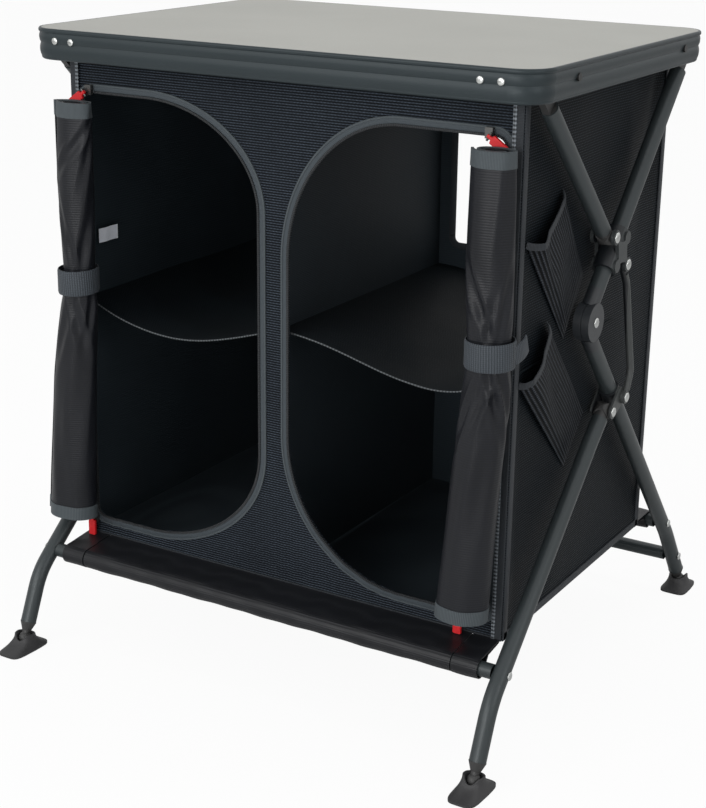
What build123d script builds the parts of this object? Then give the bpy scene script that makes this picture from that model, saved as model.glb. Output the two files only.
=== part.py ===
"""Folding camping kitchen cupboard: a rimmed worktop on a tube frame, with a fabric cabinet hung
between the legs. +X is to the right, +Y to the back and +Z up. The origin is on the ground, under the
middle of the worktop. All sizes are in millimetres. Points of the side frames are given as (y, z);
each piece is built on the right-hand side and mirrored to the left."""
from build123d import *
import os
from math import asin, atan2, cos, degrees, hypot, radians, sin

os.makedirs("parts", exist_ok=True)

# Worktop
top_width = 680.0
top_depth = 495.0
top_height = 793.0
top_corner = 38.0
panel_thickness = 9.0
rim_height = 37.0
rim_lip = 3.4
rim_wall = 4.6
rim_ledge = 9.6
ledge_thickness = 1.2
panel_gap = 0.2

# Braces and fastenings under the worktop
brace_inset = 57.0
brace_width = 38.0
brace_height = 14.0
brace_wall = 1.6
brace_gap = 0.3
rim_rivet_drop = 14.0
rim_rivet_radius = 3.5
rim_rivet_spread = 12.0
rim_rivet_out = 0.7
rim_screw_drop = 16.0
rim_screws_drawn = (-151.0, 164.0)
rim_screw_radius = 4.5
rim_screw_head = 0.8
hole_gap = 0.1
cut_past = 20.0

# Points of the side frames as drawn for a worktop of this depth and height, with which they move
drawn_for = (495.0, 793.0)
tube_inset = 17.5
foot_splay = 7.5
front_pivot_drawn = (-204.0, 764.0)
rear_pivot_drawn = (208.0, 764.0)
clamp_front_drawn = (-11.0, 577.0)
clamp_link_drawn = (29.0, 537.0)
knuckle_drawn = (-46.0, 482.0)
cross_drawn = (17.0, 355.0)
link_low_drawn = (43.5, 367.6)
rear_bend_drawn = (278.0, 100.0)
rear_foot_drawn = 326.0
front_rail_drawn = (-254.0, 118.0)
front_bend_drawn = (-282.0, 95.0)
front_foot_drawn = -317.0
ball_height = 14.0
splay_from = 45.0
bend_radius = 90.0

# Tubes
tube_radius = 10.0
tube_wall = 1.5
tube_top = 25.0
tongue_width = 8.0
tongue_radius = 8.5
tongue_reach = 45.0
pin_radius = 3.0
clamp_pin = 4.0
end_reach = 13.0
end_plug = 40.0
pin_gap = 0.06
cheek = 2.5
cheek_gap = 0.5
hinge_half = 10.5
hinge_web = 2.0
hinge_drop = 18.0
strap_of_hinge = 11.0

# Knuckle
fold_offset = 10.5
knuckle_radius = 23.0
knuckle_half = 9.7
half_gap = 0.6
collar_radius = 12.6
neck_end = 36.0
collar_bore_gap = 0.05
collar_start = 12.0
collar_end = 56.0

# Clamp that slides on the rear tube
slide_gap = 0.1
sleeve_radius = 14.5
sleeve_length = 56.0
plate_thickness = 4.5
plate_gap = 0.8
lobe_radius = 9.0
ridge_radius = 8.0
clamp_waist = 13.0
rivet_radius = 5.0
rivet_head = 1.8
button_from_middle = 18.0
button_radius = 5.0
button_seat = 14.6
button_rest = 1.5
button_travel = 3.0
button_gap = 0.3
boss_radius = 8.5
boss_out = 19.0

# Bracket, link and rails
bracket_plate = 3.0
bracket_gap = 0.4
bracket_length = 22.0
link_radius = 4.5
link_eye = 8.5
link_eye_thickness = 5.0
link_gap = 0.4
link_bow = 16.0
link_shoulder = 0.17
link_turn = 26.0
rail_radius = 9.0
rail_wall = 1.2
rail_gap = 0.1
rear_rails_drawn = ((258.0, 122.6), (301.5, 58.0))

# Feet
pad_length = 56.0
front_pad_extra = 9.0
pad_width = 38.0
pad_corner = 6.0
pad_edge = 3.0
foot_height = 20.0
foot_top_radius = 13.0
ball_radius = 8.0
ball_gap = 0.2
neck_radius = 5.0
neck_length = 10.0
plug_length = 21.0
plug_inside = 12.0
plug_rim = 0.5
foot_mouth = 12.8
foot_mouth_depth = 12.0
foot_mouth_gap = 1.2
mouth_over_ball = 2.0

# Fabric cabinet
cabinet_from_tubes = 16.9
cabinet_setback = 39.8
cabinet_over_rail = 15.0
cloth = 1.6
column_centre = -10.0
column_half = 22.0
door_from_side = 19.6
door_from_bottom = 27.0
door_from_top = 53.2
left_door_corners = ((160.0, 121.0), (170.0, 135.0))
right_door_corners = ((146.0, 170.0), (158.0, 168.0))
outer_corner = 12.0
zip_width = 9.0
zip_thickness = 1.3
shelf_share = 0.507
shelf_sag = 34.0
shelf_thickness = 3.0
shelf_setback = 12.0
window_inset = 24.0
window_over_shelf = 32.0
window_from_door = 15.0
window_corner = 8.0
pocket_gap = 0.3
pocket_thickness = 1.6
upper_pocket_drawn = ((-197.0, 598.0), (-104.0, 642.0), (-38.0, 545.0), (-96.0, 470.0))
lower_pocket_drawn = ((-197.0, 440.0), (-128.0, 492.0), (-5.0, 357.0), (-57.0, 302.0))

# Rolled doors, their straps, zip sliders and pulls
roll_from_door_top = 15.0
roll_over_door_low = 4.0
roll_top_radius = 25.0
roll_middle_radius = 27.5
roll_waist_radius = 23.5
roll_foot_radius = 31.0
roll_taper = 65.0
soft_gap = 0.3
strap_share = 0.5525
strap_width = 32.0
strap_thickness = 1.6
roll_from_side = 22.6
left_roll_lean = 2.3
right_roll_lean = 1.9
slider_width = 9.0
slider_depth = 5.0
slider_height = 12.0
top_pull_slope = 35.0
low_pull_slope = 90.0
top_pull_shift = (3.0, -3.0)
low_pull_shift = (0.0, 3.0)
top_slider_insets = (11.0, 19.0)
low_slider_insets = (-5.0, 33.0)
pull_radius = 3.0
pull_length = 24.0
pull_head = 2.6
pull_reach = 4.2
pull_round = 0.8
pull_bore = 1.8
ear_half = 5.2
ear_arm_radius = 0.8
ear_arm_setback = 1.2
pull_pin_radius = 1.3

# Sleeves that hold the cabinet's lower edges on the rails
sleeve_cloth = 1.8
sleeve_inset = 36.6
sleeve_join_over = 1.0
loop_from_side = 35.6
loop_to_side = 2.6
flap_inner = 1.0
flap_outer = 3.0
flap_bite = 0.5
flap_lip = 4.0


def moved(point):
    """A drawn point, moved with the worktop's depth and height."""
    return (point[0] * top_depth / drawn_for[0], point[1] * top_height / drawn_for[1])


# Sizes and points that follow from the ones above
half_width = top_width / 2
half_depth = top_depth / 2
tube_x = half_width - tube_inset
foot_x = tube_x + foot_splay
brace_x = half_width - brace_inset
rim_screw_ys = [y * top_depth / drawn_for[0] for y in rim_screws_drawn]
front_pivot = moved(front_pivot_drawn)
rear_pivot = moved(rear_pivot_drawn)
clamp_front_pivot = moved(clamp_front_drawn)
clamp_link_pivot = moved(clamp_link_drawn)
knuckle_pivot = moved(knuckle_drawn)
cross_pivot = moved(cross_drawn)
link_low_pivot = moved(link_low_drawn)
rear_bend = moved(rear_bend_drawn)
rear_ball = (rear_foot_drawn * top_depth / drawn_for[0], ball_height)
front_bend = moved(front_bend_drawn)
front_ball = (front_foot_drawn * top_depth / drawn_for[0], ball_height)
front_rail = moved(front_rail_drawn)
rear_rails = [moved(point) for point in rear_rails_drawn]
rim_bottom = top_height - rim_height
panel_bottom = top_height - panel_thickness
brace_top = panel_bottom - ledge_thickness - brace_gap
brace_bottom = brace_top - brace_height
cabinet_top = brace_bottom - soft_gap
side_face = tube_x - cabinet_from_tubes
front_face = half_depth - cabinet_setback
cabinet_bottom = front_rail[1] + cabinet_over_rail
cabinet_height = cabinet_top - cabinet_bottom
door_outer = side_face - door_from_side
door_low = cabinet_bottom + door_from_bottom
door_high = cabinet_top - door_from_top
shelf_height = cabinet_bottom + shelf_share * cabinet_height
window_low = shelf_height + window_over_shelf
window_high = door_high - window_from_door
roll_top = door_high - roll_from_door_top
roll_bottom = door_low + roll_over_door_low
strap_height = cabinet_bottom + strap_share * cabinet_height
roll_top_x = side_face - roll_from_side
sleeve_reach = side_face - sleeve_inset
sleeve_join = cabinet_bottom + sleeve_join_over
loop_from = side_face - loop_from_side
loop_to = side_face - loop_to_side
outer_face = tube_x + tube_radius
inner_face = tube_x - tube_radius
bore = tube_radius - tube_wall
cheek_in = tube_x - tongue_width / 2 - cheek_gap - cheek
cheek_out = tube_x + tongue_width / 2 + cheek_gap + cheek
button_out = boss_out + button_travel + button_rest
upward = (Align.CENTER, Align.CENTER, Align.MIN)


def save(node, solids):
    """Writes one named piece, or one group of like pieces, to its own file."""
    export_step(Compound([s for shape in solids for s in shape.solids()]), f"parts/{node}.step")


def both(*shapes):
    """The given right-hand pieces and their mirror images on the left."""
    return list(shapes) + [mirror(s, about=Plane.YZ) for s in shapes]


def direction(start, end):
    """The unit vector between two (y, z) points."""
    length = hypot(end[0] - start[0], end[1] - start[1])
    return ((end[0] - start[0]) / length, (end[1] - start[1]) / length)


def along(start, way, distance, offset=0.0):
    """The point at a distance along a direction, and an offset to the left of it."""
    return (start[0] + way[0] * distance - way[1] * offset, start[1] + way[1] * distance + way[0] * offset)


def measure(start, way, point):
    """How far along a direction a point lies, and how far to the left of it."""
    dy, dz = point[0] - start[0], point[1] - start[1]
    return dy * way[0] + dz * way[1], dz * way[0] - dy * way[1]


def tangent_way(centre, target, offset):
    """The direction of a line that passes the centre at an offset to its left and meets the target."""
    span = hypot(target[0] - centre[0], target[1] - centre[1])
    angle = atan2(target[1] - centre[1], target[0] - centre[0]) - asin(offset / span)
    return (cos(angle), sin(angle))


def place(x, point):
    """A point of a side frame in space."""
    return Vector(x, point[0], point[1])


def side_plane(x):
    """A plane facing +X, on which drawing coordinates are (y, z)."""
    return Plane(origin=(x, 0, 0), x_dir=(0, 1, 0), z_dir=(1, 0, 0))


def plate(outline, x0, x1):
    """A flat plate from an outline drawn in (y, z), between two values of x."""
    return extrude(side_plane(x0) * outline, x1 - x0)


def cross_bar(point, radius, x0, x1):
    """A round bar along X through a point of the side frame."""
    return plate(Pos(*point) * Circle(radius), x0, x1)


def bar(start, end, radius, inner=0.0):
    """A straight round bar or tube between two points in space."""
    plane = Plane(origin=start, z_dir=end - start)
    section = Circle(radius)
    if inner:
        section -= Circle(inner)
    return extrude(plane * section, (end - start).length)


def bent_tube(points, radius, inner, turn):
    """A tube along straight runs joined by bends."""
    path = FilletPolyline(*points, radius=turn)
    section = Plane(origin=path @ 0, z_dir=path % 0) * (Circle(radius) - Circle(inner))
    return sweep(section, path)


def band(points, radii):
    """The outline of a band stretched round circles at the given points."""
    edges = [e for p, r in zip(points, radii) for e in (Pos(*p) * Circle(r)).edges()]
    return make_hull(edges)


# Directions of the tubes: up the rear tube, down the rear leg, down the two front pieces
rear_up = tangent_way(knuckle_pivot, rear_pivot, fold_offset)
leg_down = tangent_way(knuckle_pivot, rear_bend, -fold_offset)
rear_tube_start = along(knuckle_pivot, rear_up, 0, fold_offset)
leg_start = along(knuckle_pivot, leg_down, 0, -fold_offset)
front_down = direction(front_pivot, clamp_front_pivot)
front_leg_down = direction(cross_pivot, front_bend)
front_reach = measure(cross_pivot, front_leg_down, front_bend)[0]
clamp_middle = (measure(rear_tube_start, rear_up, clamp_front_pivot)[0]
                + measure(rear_tube_start, rear_up, clamp_link_pivot)[0]) / 2
cross_middle = measure(leg_start, leg_down, cross_pivot)[0]


def rim_profile():
    """The rim's section: x runs inward from its outer line, y runs up from its lower edge."""
    h = rim_height
    ledge = h - panel_thickness
    return make_face([
        Line((rim_lip, h), (1.3, h)),
        ThreePointArc((1.3, h), (0.0, 0.94 * h), (0.5, 0.88 * h)),
        Line((0.5, 0.88 * h), (1.6, 0.85 * h)),
        ThreePointArc((1.6, 0.85 * h), (0.5, 0.7 * h), (1.8, 0.55 * h)),
        Line((1.8, 0.55 * h), (2.4, 0.52 * h)),
        ThreePointArc((2.4, 0.52 * h), (1.0, 0.31 * h), (2.9, 0.09 * h)),
        ThreePointArc((2.9, 0.09 * h), (3.7, 0.02 * h), (4.6, 0)),
        Line((4.6, 0), (6.2, 0)),
        Line((6.2, 0), (6.2, 0.05 * h)),
        Line((6.2, 0.05 * h), (rim_wall, 0.09 * h)),
        Line((rim_wall, 0.09 * h), (rim_wall, ledge - ledge_thickness)),
        Line((rim_wall, ledge - ledge_thickness), (rim_ledge, ledge - ledge_thickness)),
        Line((rim_ledge, ledge - ledge_thickness), (rim_ledge, ledge)),
        Line((rim_ledge, ledge), (rim_lip, ledge)),
        Line((rim_lip, ledge), (rim_lip, h)),
    ])


def rim_rivets():
    """Short round rivets that hold the braces to the front and back of the rim."""
    z = top_height - rim_rivet_drop
    rivets = []
    for x in (-brace_x, brace_x):
        for spread in (-rim_rivet_spread, rim_rivet_spread):
            for side in (-1, 1):
                start = Vector(x + spread, side * (half_depth + rim_rivet_out), z)
                end = Vector(x + spread, side * (half_depth - rim_wall), z)
                rivets.append((start, end))
    return rivets


def worktop():
    """The board, the rim round it, the braces under it and the rivets through the rim."""
    board_width = top_width - 2 * (rim_lip + panel_gap)
    board_depth = top_depth - 2 * (rim_lip + panel_gap)
    board = RectangleRounded(board_width, board_depth, top_corner - rim_lip - panel_gap)
    board = Pos(0, 0, panel_bottom) * extrude(board, panel_thickness)
    save("worktop_panel", [board])
    path = (Pos(0, 0, rim_bottom) * RectangleRounded(top_width, top_depth, top_corner)).wire()
    start = path @ 0
    tangent = path % 0
    inward = Vector(0, 0, 1).cross(tangent)
    rim = sweep(Plane(origin=start, x_dir=inward, z_dir=tangent) * rim_profile(), path)
    rivets = []
    for a, b in rim_rivets():
        rim -= bar(a, b, rim_rivet_radius + hole_gap)
        rivets.append(bar(a, b, rim_rivet_radius))
    screws = []
    screw_z = top_height - rim_screw_drop
    for y in rim_screw_ys:
        head = cross_bar((y, screw_z), rim_screw_radius, half_width - rim_wall, half_width + rim_screw_head)
        shank = cross_bar((y, screw_z), pin_radius, cheek_out + pin_gap, half_width - rim_wall)
        screws += both(head + shank)
    for y in rim_screw_ys:
        hole = cross_bar((y, screw_z), rim_screw_radius + hole_gap, half_width - rim_ledge, half_width + cut_past)
        for cut in both(hole):
            rim -= cut
    save("worktop_rim", [rim])
    save("rim_rivets", rivets)
    save("rim_screws", screws)
    length = top_depth - 2 * (rim_wall + brace_gap)
    outer = Rectangle(brace_width, brace_height)
    inner = Pos(0, -brace_wall) * Rectangle(brace_width - 2 * brace_wall, brace_height)
    channel = Plane.XZ * (outer - inner)
    brace = Pos(brace_x, length / 2, brace_top - brace_height / 2) * extrude(channel, length)
    save("underside_braces", both(brace))


def hinge_bracket(pivot, screw_y):
    """A channel under the worktop that holds the top of a tube, and reaches along to its screw."""
    bottom = pivot[1] - hinge_drop / 2
    height = brace_top - bottom
    ears = Pos(pivot[0], brace_top - height / 2) * Rectangle(2 * hinge_half, height)
    low = min(pivot[0] - hinge_half, screw_y - hinge_half)
    high = max(pivot[0] + hinge_half, screw_y + hinge_half)
    strap = Pos((low + high) / 2, brace_top - strap_of_hinge / 2) * Rectangle(high - low, strap_of_hinge)
    room = Pos((low + high) / 2, brace_top - hinge_web - height / 2) * Rectangle(high - low, height)
    return plate(ears + strap, cheek_in, cheek_out) - plate(room, cheek_in + cheek, cheek_out - cheek)


def hinge_brackets():
    """Both pairs of brackets and their pins. The front pins run right through the tubes' tongues."""
    front = hinge_bracket(front_pivot, rim_screw_ys[0])
    front -= cross_bar(front_pivot, pin_radius, cheek_in, cheek_out)
    rear = hinge_bracket(rear_pivot, rim_screw_ys[1])
    save("front_hinge_brackets", both(front))
    save("rear_hinge_brackets", both(rear))
    pin = cross_bar(front_pivot, pin_radius, cheek_in, cheek_out)
    heads = [cross_bar(front_pivot, rivet_radius, cheek_out, cheek_out + rivet_head / 2),
             cross_bar(front_pivot, rivet_radius, cheek_in - rivet_head / 2, cheek_in)]
    pin += heads
    buttons = []
    for x0, x1 in ((cheek_out, cheek_out + rivet_head / 2), (cheek_in - rivet_head / 2, cheek_in)):
        buttons.append(cross_bar(rear_pivot, rivet_radius, x0, x1))
    save("hinge_pins", both(pin, *buttons))


def tongue(pivot, way, hole):
    """A flat eye at the end of a tube, running into it."""
    tail = along(pivot, way, tongue_reach)
    eye = plate(band([pivot, tail], [tongue_radius, tongue_radius]), tube_x - tongue_width / 2,
                tube_x + tongue_width / 2)
    plug = bar(place(tube_x, along(pivot, way, tube_top)), place(tube_x, tail), bore - collar_bore_gap)
    past = along(pivot, way, tongue_reach + 2 * tongue_radius)
    shoulder = bar(place(tube_x, along(pivot, way, tube_top)), place(tube_x, past), 3 * tube_radius)
    shoulder -= bar(place(tube_x, along(pivot, way, tube_top)), place(tube_x, past), bore - collar_bore_gap)
    solid = (eye - shoulder) + plug
    if hole:
        solid -= cross_bar(pivot, pin_radius + pin_gap, cheek_in, cheek_out)
    return solid


def round_end(pivot, way, pin):
    """A round-ended plug that fills a tube's end and turns on a pin."""
    eye = cross_bar(pivot, tube_radius - collar_bore_gap, inner_face, outer_face)
    rod = bar(place(tube_x, pivot), place(tube_x, along(pivot, way, end_plug)), bore - collar_bore_gap)
    reach = place(tube_x, along(pivot, way, end_reach))
    eye &= bar(place(tube_x, along(pivot, way, -tube_radius)), reach, tube_radius)
    return eye + rod - cross_bar(pivot, pin + pin_gap, inner_face, outer_face)


def upper_front_frame():
    """The two short tubes that run down and back from the worktop's front to the clamps."""
    end = direction(clamp_front_pivot, front_pivot)
    start_point = along(front_pivot, front_down, tube_top)
    end_point = along(clamp_front_pivot, end, end_reach)
    tube = bar(place(tube_x, start_point), place(tube_x, end_point), tube_radius, bore)
    save("upper_front_tubes", both(tube))
    save("upper_front_tube_ends", both(tongue(front_pivot, front_down, True),
                                       round_end(clamp_front_pivot, end, clamp_pin)))


def rear_point(distance, offset=0.0):
    """A point at a distance up the rear tube from the knuckle, and an offset to its upper side."""
    return along(rear_tube_start, rear_up, distance, offset)


def leg_point(distance, offset=0.0):
    """A point at a distance down the rear leg from the knuckle, and an offset to its upper side."""
    return along(leg_start, leg_down, distance, offset)


def clamp_outline(low, high):
    """A four-pointed plate with hollow sides: two points on the pivots and two along the rear tube."""
    tips = [clamp_front_pivot, rear_point(high), clamp_link_pivot, rear_point(low)]
    radii = [lobe_radius, ridge_radius, lobe_radius, ridge_radius]
    centre = rear_point(clamp_middle)
    sides = []
    for start, end in zip(tips, tips[1:] + tips[:1]):
        bisector = direction(centre, ((start[0] + end[0]) / 2, (start[1] + end[1]) / 2))
        sides.append(ThreePointArc(start, along(centre, bisector, clamp_waist), end))
    outline = make_face(sides)
    for tip, radius in zip(tips, radii):
        outline += Pos(*tip) * Circle(radius)
    return outline


def clamp():
    """The cast clamp: a sleeve on the rear tube between two plates, with a boss for the button."""
    low = clamp_middle - sleeve_length / 2
    high = clamp_middle + sleeve_length / 2
    body = bar(place(tube_x, rear_point(low)), place(tube_x, rear_point(high)), sleeve_radius)
    outline = clamp_outline(low + ridge_radius, high - ridge_radius)
    for x0 in (outer_face + plate_gap, inner_face - plate_gap - plate_thickness):
        body += plate(outline, x0, x0 + plate_thickness)
    seat = clamp_middle + button_from_middle
    start = place(tube_x, rear_point(seat))
    out = place(0, rear_point(0, -1)) - place(0, rear_point(0))
    body += bar(start, start + out * boss_out, boss_radius)
    body -= bar(place(tube_x, rear_point(low - cut_past)), place(tube_x, rear_point(high + cut_past)),
                tube_radius + slide_gap)
    body -= bar(start, start + out * (boss_out + cut_past), button_radius + button_gap)
    for pivot in (clamp_front_pivot, clamp_link_pivot):
        body -= cross_bar(pivot, clamp_pin + pin_gap, inner_face - cut_past, outer_face + cut_past)
    save("clamps", both(body))
    face_out = outer_face + plate_gap + plate_thickness
    face_in = inner_face - plate_gap - plate_thickness
    rivets = []
    for pivot in (clamp_front_pivot, clamp_link_pivot):
        rivet = cross_bar(pivot, clamp_pin, face_in, face_out)
        rivet += cross_bar(pivot, rivet_radius + 1, face_out, face_out + rivet_head)
        rivets.append(rivet)
    save("clamp_rivets", both(*rivets))
    button = bar(start + out * button_seat, start + out * button_out, button_radius)
    for node, solid in zip(("button_right", "button_left"), both(button)):
        save(node, [solid])


def knuckle_half_solid(way, start, offset, outer):
    """Half of a fold-flat knuckle: a disc with a neck that plugs into its tube."""
    x0 = tube_x + half_gap / 2 if outer else tube_x - half_gap / 2 - knuckle_half
    disc = cross_bar(knuckle_pivot, knuckle_radius, x0, x0 + knuckle_half)
    collar = bar(place(tube_x, along(start, way, collar_start)), place(tube_x, along(start, way, neck_end)),
                 tube_radius)
    clear_from = tube_x - cut_past if outer else tube_x - half_gap / 2
    clear_to = tube_x + half_gap / 2 if outer else tube_x + cut_past
    collar -= cross_bar(knuckle_pivot, knuckle_radius + half_gap, clear_from, clear_to)
    plug = bar(place(tube_x, along(start, way, neck_end)), place(tube_x, along(start, way, collar_end)),
               bore - collar_bore_gap)
    solid = disc + collar + plug
    return solid - cross_bar(knuckle_pivot, clamp_pin + pin_gap, tube_x - cut_past, tube_x + cut_past)


def upper_rear_frame():
    """The two tubes from the worktop's back through the clamps, each with a knuckle half."""
    reach = measure(rear_tube_start, rear_up, rear_pivot)[0]
    tube = bar(place(tube_x, rear_point(neck_end)), place(tube_x, rear_point(reach - tube_top)),
               tube_radius, bore)
    down = (-rear_up[0], -rear_up[1])
    save("upper_rear_tubes", both(tube))
    save("upper_rear_tube_ends", both(tongue(rear_pivot, down, False)))
    save("knuckle_outer_halves", both(knuckle_half_solid(rear_up, rear_tube_start, fold_offset, True)))
    x_in = tube_x - half_gap / 2 - knuckle_half
    x_out = tube_x + half_gap / 2 + knuckle_half
    rivet = cross_bar(knuckle_pivot, clamp_pin, x_in, x_out)
    rivet += cross_bar(knuckle_pivot, rivet_radius + 1, x_out, x_out + rivet_head)
    save("knuckle_rivets", both(rivet))


def foot_way(bend, ball, bend_x):
    """The direction of a leg's lower stretch, from its bend to its foot."""
    return (place(foot_x, ball) - place(bend_x, bend)).normalized()


def splay_at(height):
    """How far outward the rear leg's lower stretch has splayed at a height."""
    share = (rear_bend[1] - height) / (rear_bend[1] - rear_ball[1])
    return (foot_x - tube_x) * max(0.0, share)


def front_splay(point, further):
    """How far outward the front leg has splayed a little further down than a point."""
    down = measure(cross_pivot, front_leg_down, point)[0] + further
    return foot_splay * (down - splay_from) / (front_reach - splay_from)


def foot_plug(bend, ball, bend_x):
    """The tapered plug on a leg's end, with the ball that the foot turns on."""
    way = foot_way(bend, ball, bend_x)
    centre = place(foot_x, ball)
    end = centre - way * plug_length
    plug = bar(end - way * plug_inside, end, bore - collar_bore_gap)
    cone = Cone(tube_radius + plug_rim, neck_radius + 1, plug_length - neck_length, align=upward)
    cone = Plane(origin=end, z_dir=way) * cone
    return plug + cone + bar(end, centre, neck_radius) + Pos(*centre) * Sphere(ball_radius)


def rail(point, span):
    """A tube between the inner faces of the left and right legs."""
    return cross_bar(point, rail_radius, -span, span) - cross_bar(point, rail_radius - rail_wall, -span, span)


def rear_leg_frame():
    """The rear legs, their knuckle halves and cross brackets, and the rails between them."""
    end = place(foot_x, rear_ball) - foot_way(rear_bend, rear_ball, tube_x) * plug_length
    points = [place(tube_x, leg_point(neck_end)), place(tube_x, rear_bend), end]
    save("rear_leg_tubes", both(bent_tube(points, tube_radius, bore, bend_radius)))
    save("knuckle_inner_halves", both(knuckle_half_solid(leg_down, leg_start, -fold_offset, False)))
    save("rear_foot_plugs", both(foot_plug(rear_bend, rear_ball, tube_x)))
    middle = leg_point(cross_middle)
    collar = bar(place(tube_x, leg_point(cross_middle - bracket_length / 2)),
                 place(tube_x, leg_point(cross_middle + bracket_length / 2)), collar_radius)
    outline = band([cross_pivot, link_low_pivot, middle], [lobe_radius] * 3)
    for x0 in (outer_face + bracket_gap, inner_face - bracket_gap - bracket_plate):
        collar += plate(outline, x0, x0 + bracket_plate)
    collar -= bar(place(tube_x, leg_point(cross_middle - bracket_length)),
                  place(tube_x, leg_point(cross_middle + bracket_length)), tube_radius + collar_bore_gap)
    collar -= cross_bar(cross_pivot, clamp_pin + pin_gap, inner_face - cut_past, outer_face + cut_past)
    save("cross_brackets", both(collar))
    face_out = outer_face + bracket_gap + bracket_plate
    face_in = inner_face - bracket_gap - bracket_plate
    rivet = cross_bar(cross_pivot, clamp_pin, face_in, face_out)
    rivet += cross_bar(cross_pivot, rivet_radius + 1, face_out, face_out + rivet_head)
    save("cross_rivets", both(rivet))
    rails = []
    heads = []
    for point in rear_rails:
        rails.append(rail(point, inner_face + splay_at(point[1] + rail_radius) - rail_gap))
        seat = outer_face + splay_at(point[1] - rivet_radius)
        heads.append(cross_bar(point, rivet_radius, seat, seat + rivet_head))
    save("rear_rails", rails)
    save("rear_rail_rivets", both(*heads))


def link_bars():
    """The bowed bars that tie the clamps to the legs' crossings. Their lower eyes carry the rivets."""
    top_x = outer_face - link_eye_thickness / 2
    low_face = outer_face + bracket_gap + bracket_plate + link_gap
    low_x = low_face + link_eye_thickness / 2
    down = direction(clamp_link_pivot, link_low_pivot)
    length = measure(clamp_link_pivot, down, link_low_pivot)[0]
    stations = [(0.0, 0.0, top_x), (link_shoulder, link_bow, top_x),
                (1 - link_shoulder, link_bow, low_x), (1.0, 0.0, low_x)]
    points = [place(x, along(clamp_link_pivot, down, length * t, bow)) for t, bow, x in stations]
    path = FilletPolyline(*points, radius=link_turn)
    solid = sweep(Plane(origin=path @ 0, z_dir=path % 0) * Circle(link_radius), path)
    half = link_eye_thickness / 2
    solid += cross_bar(clamp_link_pivot, link_eye, top_x - half, top_x + half)
    solid += cross_bar(link_low_pivot, link_eye, low_x - half, low_x + half)
    solid -= plate(Pos(*link_low_pivot) * Circle(3 * link_eye), low_face - cut_past, low_face)
    solid -= plate(Pos(*link_low_pivot) * Circle(link_eye), low_x + half, low_x + cut_past)
    solid -= plate(Pos(*clamp_link_pivot) * Circle(2 * link_eye), outer_face + plate_gap / 2, outer_face + cut_past)
    solid -= cross_bar(clamp_link_pivot, clamp_pin + pin_gap, inner_face, outer_face + cut_past)
    save("link_bars", both(solid))
    rivet = cross_bar(link_low_pivot, rivet_radius + 1, low_x + half, low_x + half + rivet_head)
    save("link_rivets", both(rivet))


def front_leg_frame():
    """The front legs, turning on the cross brackets, and the rail between them."""
    end = place(foot_x, front_ball) - foot_way(front_bend, front_ball, foot_x) * plug_length
    start = along(cross_pivot, front_leg_down, end_reach)
    straight = along(cross_pivot, front_leg_down, splay_from)
    points = [place(tube_x, start), place(tube_x, straight), place(foot_x, front_bend), end]
    save("front_leg_tubes", both(bent_tube(points, tube_radius, bore, bend_radius)))
    save("front_leg_tube_ends", both(round_end(cross_pivot, front_leg_down, clamp_pin)))
    save("front_foot_plugs", both(foot_plug(front_bend, front_ball, foot_x)))
    save("front_cross_rail", [rail(front_rail, inner_face + front_splay(front_rail, -rail_radius) - rail_gap)])
    seat = outer_face + front_splay(front_rail, rivet_radius)
    save("front_rail_rivets", both(cross_bar(front_rail, rivet_radius, seat, seat + rivet_head)))


def foot(ball, extra, way):
    """A wedge-sided shoe with a socket for the ball on the leg's end. Its mouth opens along the leg's way,
    and the extra length lies to the front."""
    sole = Pos(0, -extra / 2) * RectangleRounded(pad_width, pad_length + extra, pad_corner)
    solid = extrude(sole, pad_edge)
    solid += loft([Pos(0, 0, pad_edge) * sole, Pos(0, 0, foot_height) * Circle(foot_top_radius)])
    solid -= Pos(0, 0, ball[1]) * Sphere(ball_radius + ball_gap)
    mouth = Cone(neck_radius + foot_mouth_gap, foot_mouth, foot_mouth_depth, align=upward)
    seat = Plane(origin=Vector(0, 0, ball[1]) - way * mouth_over_ball, z_dir=-way)
    return Pos(foot_x, ball[0], 0) * (solid - seat * mouth)


def feet():
    """The four feet, each free to tilt on its leg."""
    front_way = foot_way(front_bend, front_ball, foot_x)
    rear_way = foot_way(rear_bend, rear_ball, tube_x)
    for end, ball, extra, way in (("front", front_ball, front_pad_extra, front_way),
                                  ("rear", rear_ball, 0, rear_way)):
        for side, solid in zip(("right", "left"), both(foot(ball, extra, way))):
            save(f"{end}_{side}_foot", [solid])


def front_outline(x0, x1, z0, z1):
    """A rectangle drawn on the front, as (x, z)."""
    return Pos((x0 + x1) / 2, (z0 + z1) / 2) * Rectangle(x1 - x0, z1 - z0)


def door_outline(left, grow=0.0):
    """A doorway, grown all round: nearly square at the outer side, broadly rounded at the inner."""
    inner = column_centre - column_half if left else -column_centre - column_half
    (top_wide, top_tall), (low_wide, low_tall) = left_door_corners if left else right_door_corners
    outer = -door_outer + outer_corner
    top_centre = Plane(origin=(inner - top_wide, door_high - top_tall, 0))
    low_centre = Plane(origin=(inner - low_wide, door_low + low_tall, 0))
    top = Edge.make_ellipse(top_wide + grow, top_tall + grow, top_centre, 0, 90)
    low = Edge.make_ellipse(low_wide + grow, low_tall + grow, low_centre, 270, 360)
    outer_top = CenterArc((outer, door_high - outer_corner), outer_corner + grow, 90, 90)
    outer_low = CenterArc((outer, door_low + outer_corner), outer_corner + grow, 180, 90)
    runs = [top, Line(top @ 1, outer_top @ 0), outer_top, Line(outer_top @ 1, outer_low @ 0), outer_low,
            Line(outer_low @ 1, low @ 0), low, Line(low @ 1, top @ 0)]
    outline = make_face(runs)
    return outline if left else mirror(outline, about=Plane.YZ)


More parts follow.
